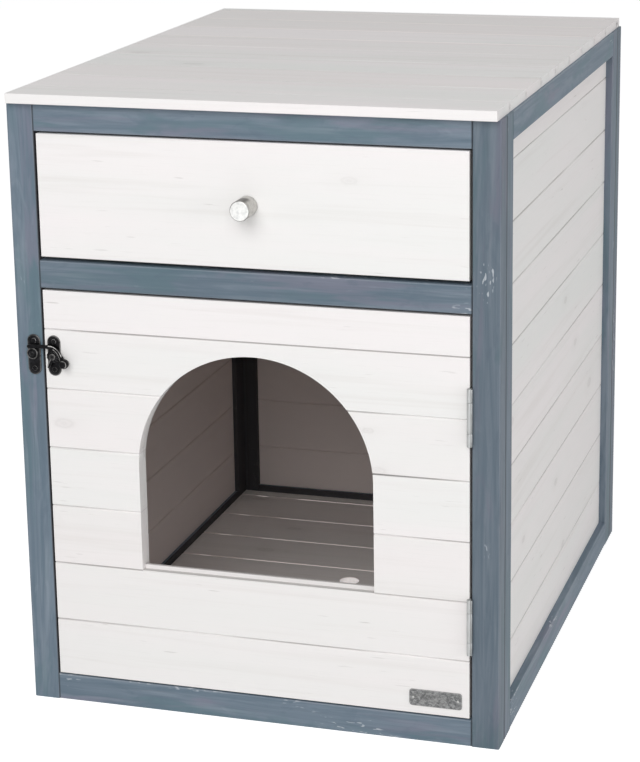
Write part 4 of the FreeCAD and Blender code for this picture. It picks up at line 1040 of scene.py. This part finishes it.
def add_floor():
    finish = Finish("pale_floor")
    plain = finish.node("ShaderNodeBsdfDiffuse", inputs={"Color": (0.82, 0.82, 0.82, 1)})
    lift = finish.node("ShaderNodeEmission",
                       inputs={"Color": (1, 1, 1, 1), "Strength": FLOOR_LIFT})
    lifted = finish.node("ShaderNodeAddShader", inputs={0: plain, 1: lift})
    shader = finish.node("ShaderNodeMixShader",
                         inputs={0: seen_or_mirrored(finish), 1: plain, 2: lifted})
    finish.node("ShaderNodeOutputMaterial", inputs={"Surface": shader})
    corners = [(x * FLOOR_REACH, y * FLOOR_REACH, 0)
               for x, y in ((-1, -1), (1, -1), (1, 1), (-1, 1))]
    mesh = bpy.data.meshes.new("floor")
    mesh.from_pydata(corners, [], [(0, 1, 2, 3)])
    mesh.materials.append(finish.material)
    shown("floor", mesh)


def way_back(turn, rise):
    """The way from the object to a viewer or a lamp at these angles round it and up."""
    return Vector((math.sin(turn) * math.cos(rise), -math.cos(turn) * math.cos(rise),
                   math.sin(rise)))


def add_lamp(name, turn, rise, wide, high, share, far=4.6):
    """A soft box that faces the object from turn degrees round it and rise degrees up.

    Its share is the brightness that it gives a white surface turned to it.
    """
    place = LAMP_AIM + far * way_back(math.radians(turn), math.radians(rise))
    lamp = bpy.data.lights.new(name, "AREA")
    lamp.shape = "RECTANGLE"
    lamp.size, lamp.size_y = wide, high
    lamp.energy = share * (math.pi * far) ** 2
    holder = bpy.data.objects.new(name, lamp)
    holder.location = place
    holder.rotation_mode = "QUATERNION"
    holder.rotation_quaternion = (LAMP_AIM - place).to_track_quat("-Z", "Y")
    bpy.context.scene.collection.objects.link(holder)


def add_camera():
    """The photograph's view. The lens shift stays small, because other views keep it."""
    yaw, pitch, roll = map(math.radians, CAMERA_TURNS)
    level = Vector((math.cos(yaw), math.sin(yaw), 0))
    back = way_back(yaw, pitch)
    high = back.cross(level)
    right = level * math.cos(roll) - high * math.sin(roll)
    up = level * math.sin(roll) + high * math.cos(roll)
    camera = bpy.data.cameras.new("camera")
    camera.lens = 108.44
    camera.shift_y = -0.10
    camera.clip_end = 200
    holder = bpy.data.objects.new("camera", camera)
    turn = Matrix((right, up, back)).transposed().to_quaternion()
    holder.matrix_world = Matrix.LocRotScale(CAMERA_PLACE, turn, None)
    bpy.context.scene.collection.objects.link(holder)
    bpy.context.scene.camera = holder


# The whole object

def dress(material, *names):
    """Give CAD nodes a material."""
    for name in names:
        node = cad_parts[name]
        if not node.material_slots:
            node.data.materials.append(material)
        for slot in node.material_slots:
            slot.material = material


def dress_frames():
    dress(stain("stain_left_stile", "z", "x", 0.3), "front_left_stile", "back_left_stile")
    dress(stain("stain_right_stile", "z", "x", 6.4, 0.87, scuff=(0.230, 0.455, 0.020)),
          "front_right_stile", "back_right_stile")
    dress(stain("stain_side_stile", "z", "y", 4.1, 0.92), "left_side_front_stile",
          "left_side_rear_stile", "right_side_front_stile", "right_side_rear_stile")
    dress(stain("stain_rail", "x", "z", 8.7), "front_top_rail", "front_bottom_rail",
          "back_top_rail", "back_bottom_rail")
    dress(stain("stain_mid_rail", "x", "z", 14.9, 0.96, scuff=(0.203, 0.437, 0.018)),
          "front_mid_rail")
    dress(stain("stain_side_rail", "y", "z", 2.2), "left_side_top_rail", "left_side_bottom_rail",
          "right_side_top_rail", "right_side_bottom_rail")


def dress_boards():
    # The door's upward faces get painted shade.
    front = whitewash("whitewash_door", "x", "z", joint=DOOR_JOINT, cover=WALL_COVER, seed=3.0,
                      knots=0.7, top_shade=0.6)
    for node in ("door_lower_boards", "door_left_boards", "door_right_boards", "door_arch_boards",
                 "door_top_board"):
        stand_for(eased(node, 0.7 * MM), node, "door", front)
    drawer = whitewash("whitewash_drawer", "x", "z", seed=11.0, knots=0.5)
    stand_for(eased("drawer_front", 0.6 * MM), "drawer_front", "drawer", drawer)
    tree = board_tree()
    wall = {"joint": WALL_JOINT, "cover": WALL_COVER}
    side = whitewash("whitewash_side", "y", "z", seed=31.0, **wall)
    for node, out in (("left_side_boards", -RIGHT), ("right_side_boards", RIGHT)):
        board_row(node, UP, out, WALL_JOINT, WALL_COVER, tree, side)
    back = whitewash("whitewash_back", "x", "z", seed=41.0, **wall)
    board_row("back_boards", UP, IN, WALL_JOINT, WALL_COVER, tree, back)
    top = whitewash("whitewash_top", "x", "y", joint=TOP_JOINT, cover=FLAT_COVER, seed=21.0)
    board_row("top_boards", IN, UP, TOP_JOINT, FLAT_COVER, tree, top, TOP_GAP, Ease=0.5 * MM)
    # The floor gets painted light on the walls of its joints and hole.
    floor = whitewash("whitewash_floor", "x", "y", joint=FLOOR_JOINT, cover=FLAT_COVER, seed=51.0,
                      shade=1.03, glow=painted_light_from_below)
    open_jointed = {"Ease": MM, "Ease steps": 2, "Tongue reach": 0.0,
                    "Hole radius": HOLE_RADIUS, "Hole place": HOLE_PLACE}
    board_row("floor_boards", IN, UP, FLOOR_JOINT, FLAT_COVER, tree, floor, FLOOR_GAP,
              **open_jointed)


def dress_inside():
    dress(bare_wood("inner_wood_deep", "y", "z", 1.0), "top_battens", "floor_battens",
          "left_drawer_runner", "right_drawer_runner", "drawer_stops", "drawer_left_side",
          "drawer_right_side")
    dress(bare_wood("inner_wood_cross", "x", "z", 2.0), "drawer_back")
    dress(bare_wood("inner_wood_panel", "x", "y", 3.0), "drawer_bottom")
    dress(bare_wood("inner_wood_upright", "z", "x", 4.0), "door_battens", "door_stop")
    dress(bare_wood("beech", "y", "x", 5.0), "frame_dowels", "drawer_dowels")


KNUCKLE_RADIUS = 2.8 * MM
SEAM_TURN = math.radians(33)
SEAM_BLOCK = (1.0 * MM, 2.4 * MM, 60 * MM, 1)


def dress_hinges():
    """Leaves with a seam where each knuckle is rolled, and pins with rounded ends."""
    zinc = satin_metal("zinc", srgb(178, 180, 180), 0.28)
    towards_seam = Vector((math.sin(SEAM_TURN), -math.cos(SEAM_TURN), 0))
    cuts = []
    for low, high in solids("hinge_pins"):
        rim = (low + high) / 2 + KNUCKLE_RADIUS * towards_seam
        cuts.append(Matrix.Translation(rim) @ Matrix.Rotation(SEAM_TURN, 4, "Z")
                    @ Matrix.Diagonal(SEAM_BLOCK))
    for node, body in (("hinge_frame_leaves", "cabinet"), ("hinge_door_leaves", "door")):
        leaves = eased(node, 0.2 * MM)
        cut(leaves, cuts)
        stand_for(leaves, node, body, zinc)
    shells = []
    for low, high in solids("hinge_pins"):
        foot = Vector(((low.x + high.x) / 2, (low.y + high.y) / 2, low.z))
        long = (high.z - low.z) / MM
        profile = [(0.5, 0), (1.1, 0.12), (1.4, 0.5), (1.4, long - 0.5), (1.1, long - 0.12),
                   (0.5, long)]
        shells.append(turning(foot, UP, scaled(profile), 24))
    pins = shown("hinge_pins_turned", mesh_from("hinge_pins_turned", shells))
    stand_for(pins, "hinge_pins", "cabinet", zinc)
    return zinc


def add_screws(zinc, black):
    tree = screw_tree()
    on_latch, steel = (black, "black_metal"), (zinc, "screw_steel")
    kinds = [
        ("strike_plate_screws", "strike_screws", "cabinet", OUT, False, *on_latch),
        ("door_plate_screws", "latch_plate_screws", "door", OUT, False, *on_latch),
        ("hinge_screws_in_frame", "hinge_frame_screws", "cabinet", -RIGHT, False, *steel),
        ("hinge_screws_in_door", "hinge_door_screws", "door", RIGHT, False, *steel),
        ("batten_screws", "door_batten_screws", "door", IN, False, *steel),
        ("floor_and_top_screws", "board_screws", "cabinet", -UP, False, *steel),
        ("drawer_runner_screws", "runner_screws", "cabinet", -RIGHT, True, *steel),
        ("drawer_back_screws", "drawer_screws", "drawer", RIGHT, True, *steel),
    ]
    for seed, kind in enumerate(kinds, start=1):
        screws(*kind, tree, seed)


bpy.context.scene.view_settings.view_transform = "Standard"
add_camera()
add_world()
add_floor()
add_lamp("key", turn=-6, rise=36, wide=2.4, high=2.4, share=0.29)
add_lamp("second_key", turn=16, rise=29, wide=3.0, high=3.0, share=0.26)
add_lamp("fill", turn=70, rise=8, wide=2.4, high=2.0, share=0.19)

dress_frames()
dress_boards()
dress_inside()
zinc = dress_hinges()
black = antique_black("antique_black")
add_screws(zinc, black)
dress(zinc, "knob_screw")
add_latch_arm(add_latch_plates(black), black)
add_knob()
add_blank_plate()
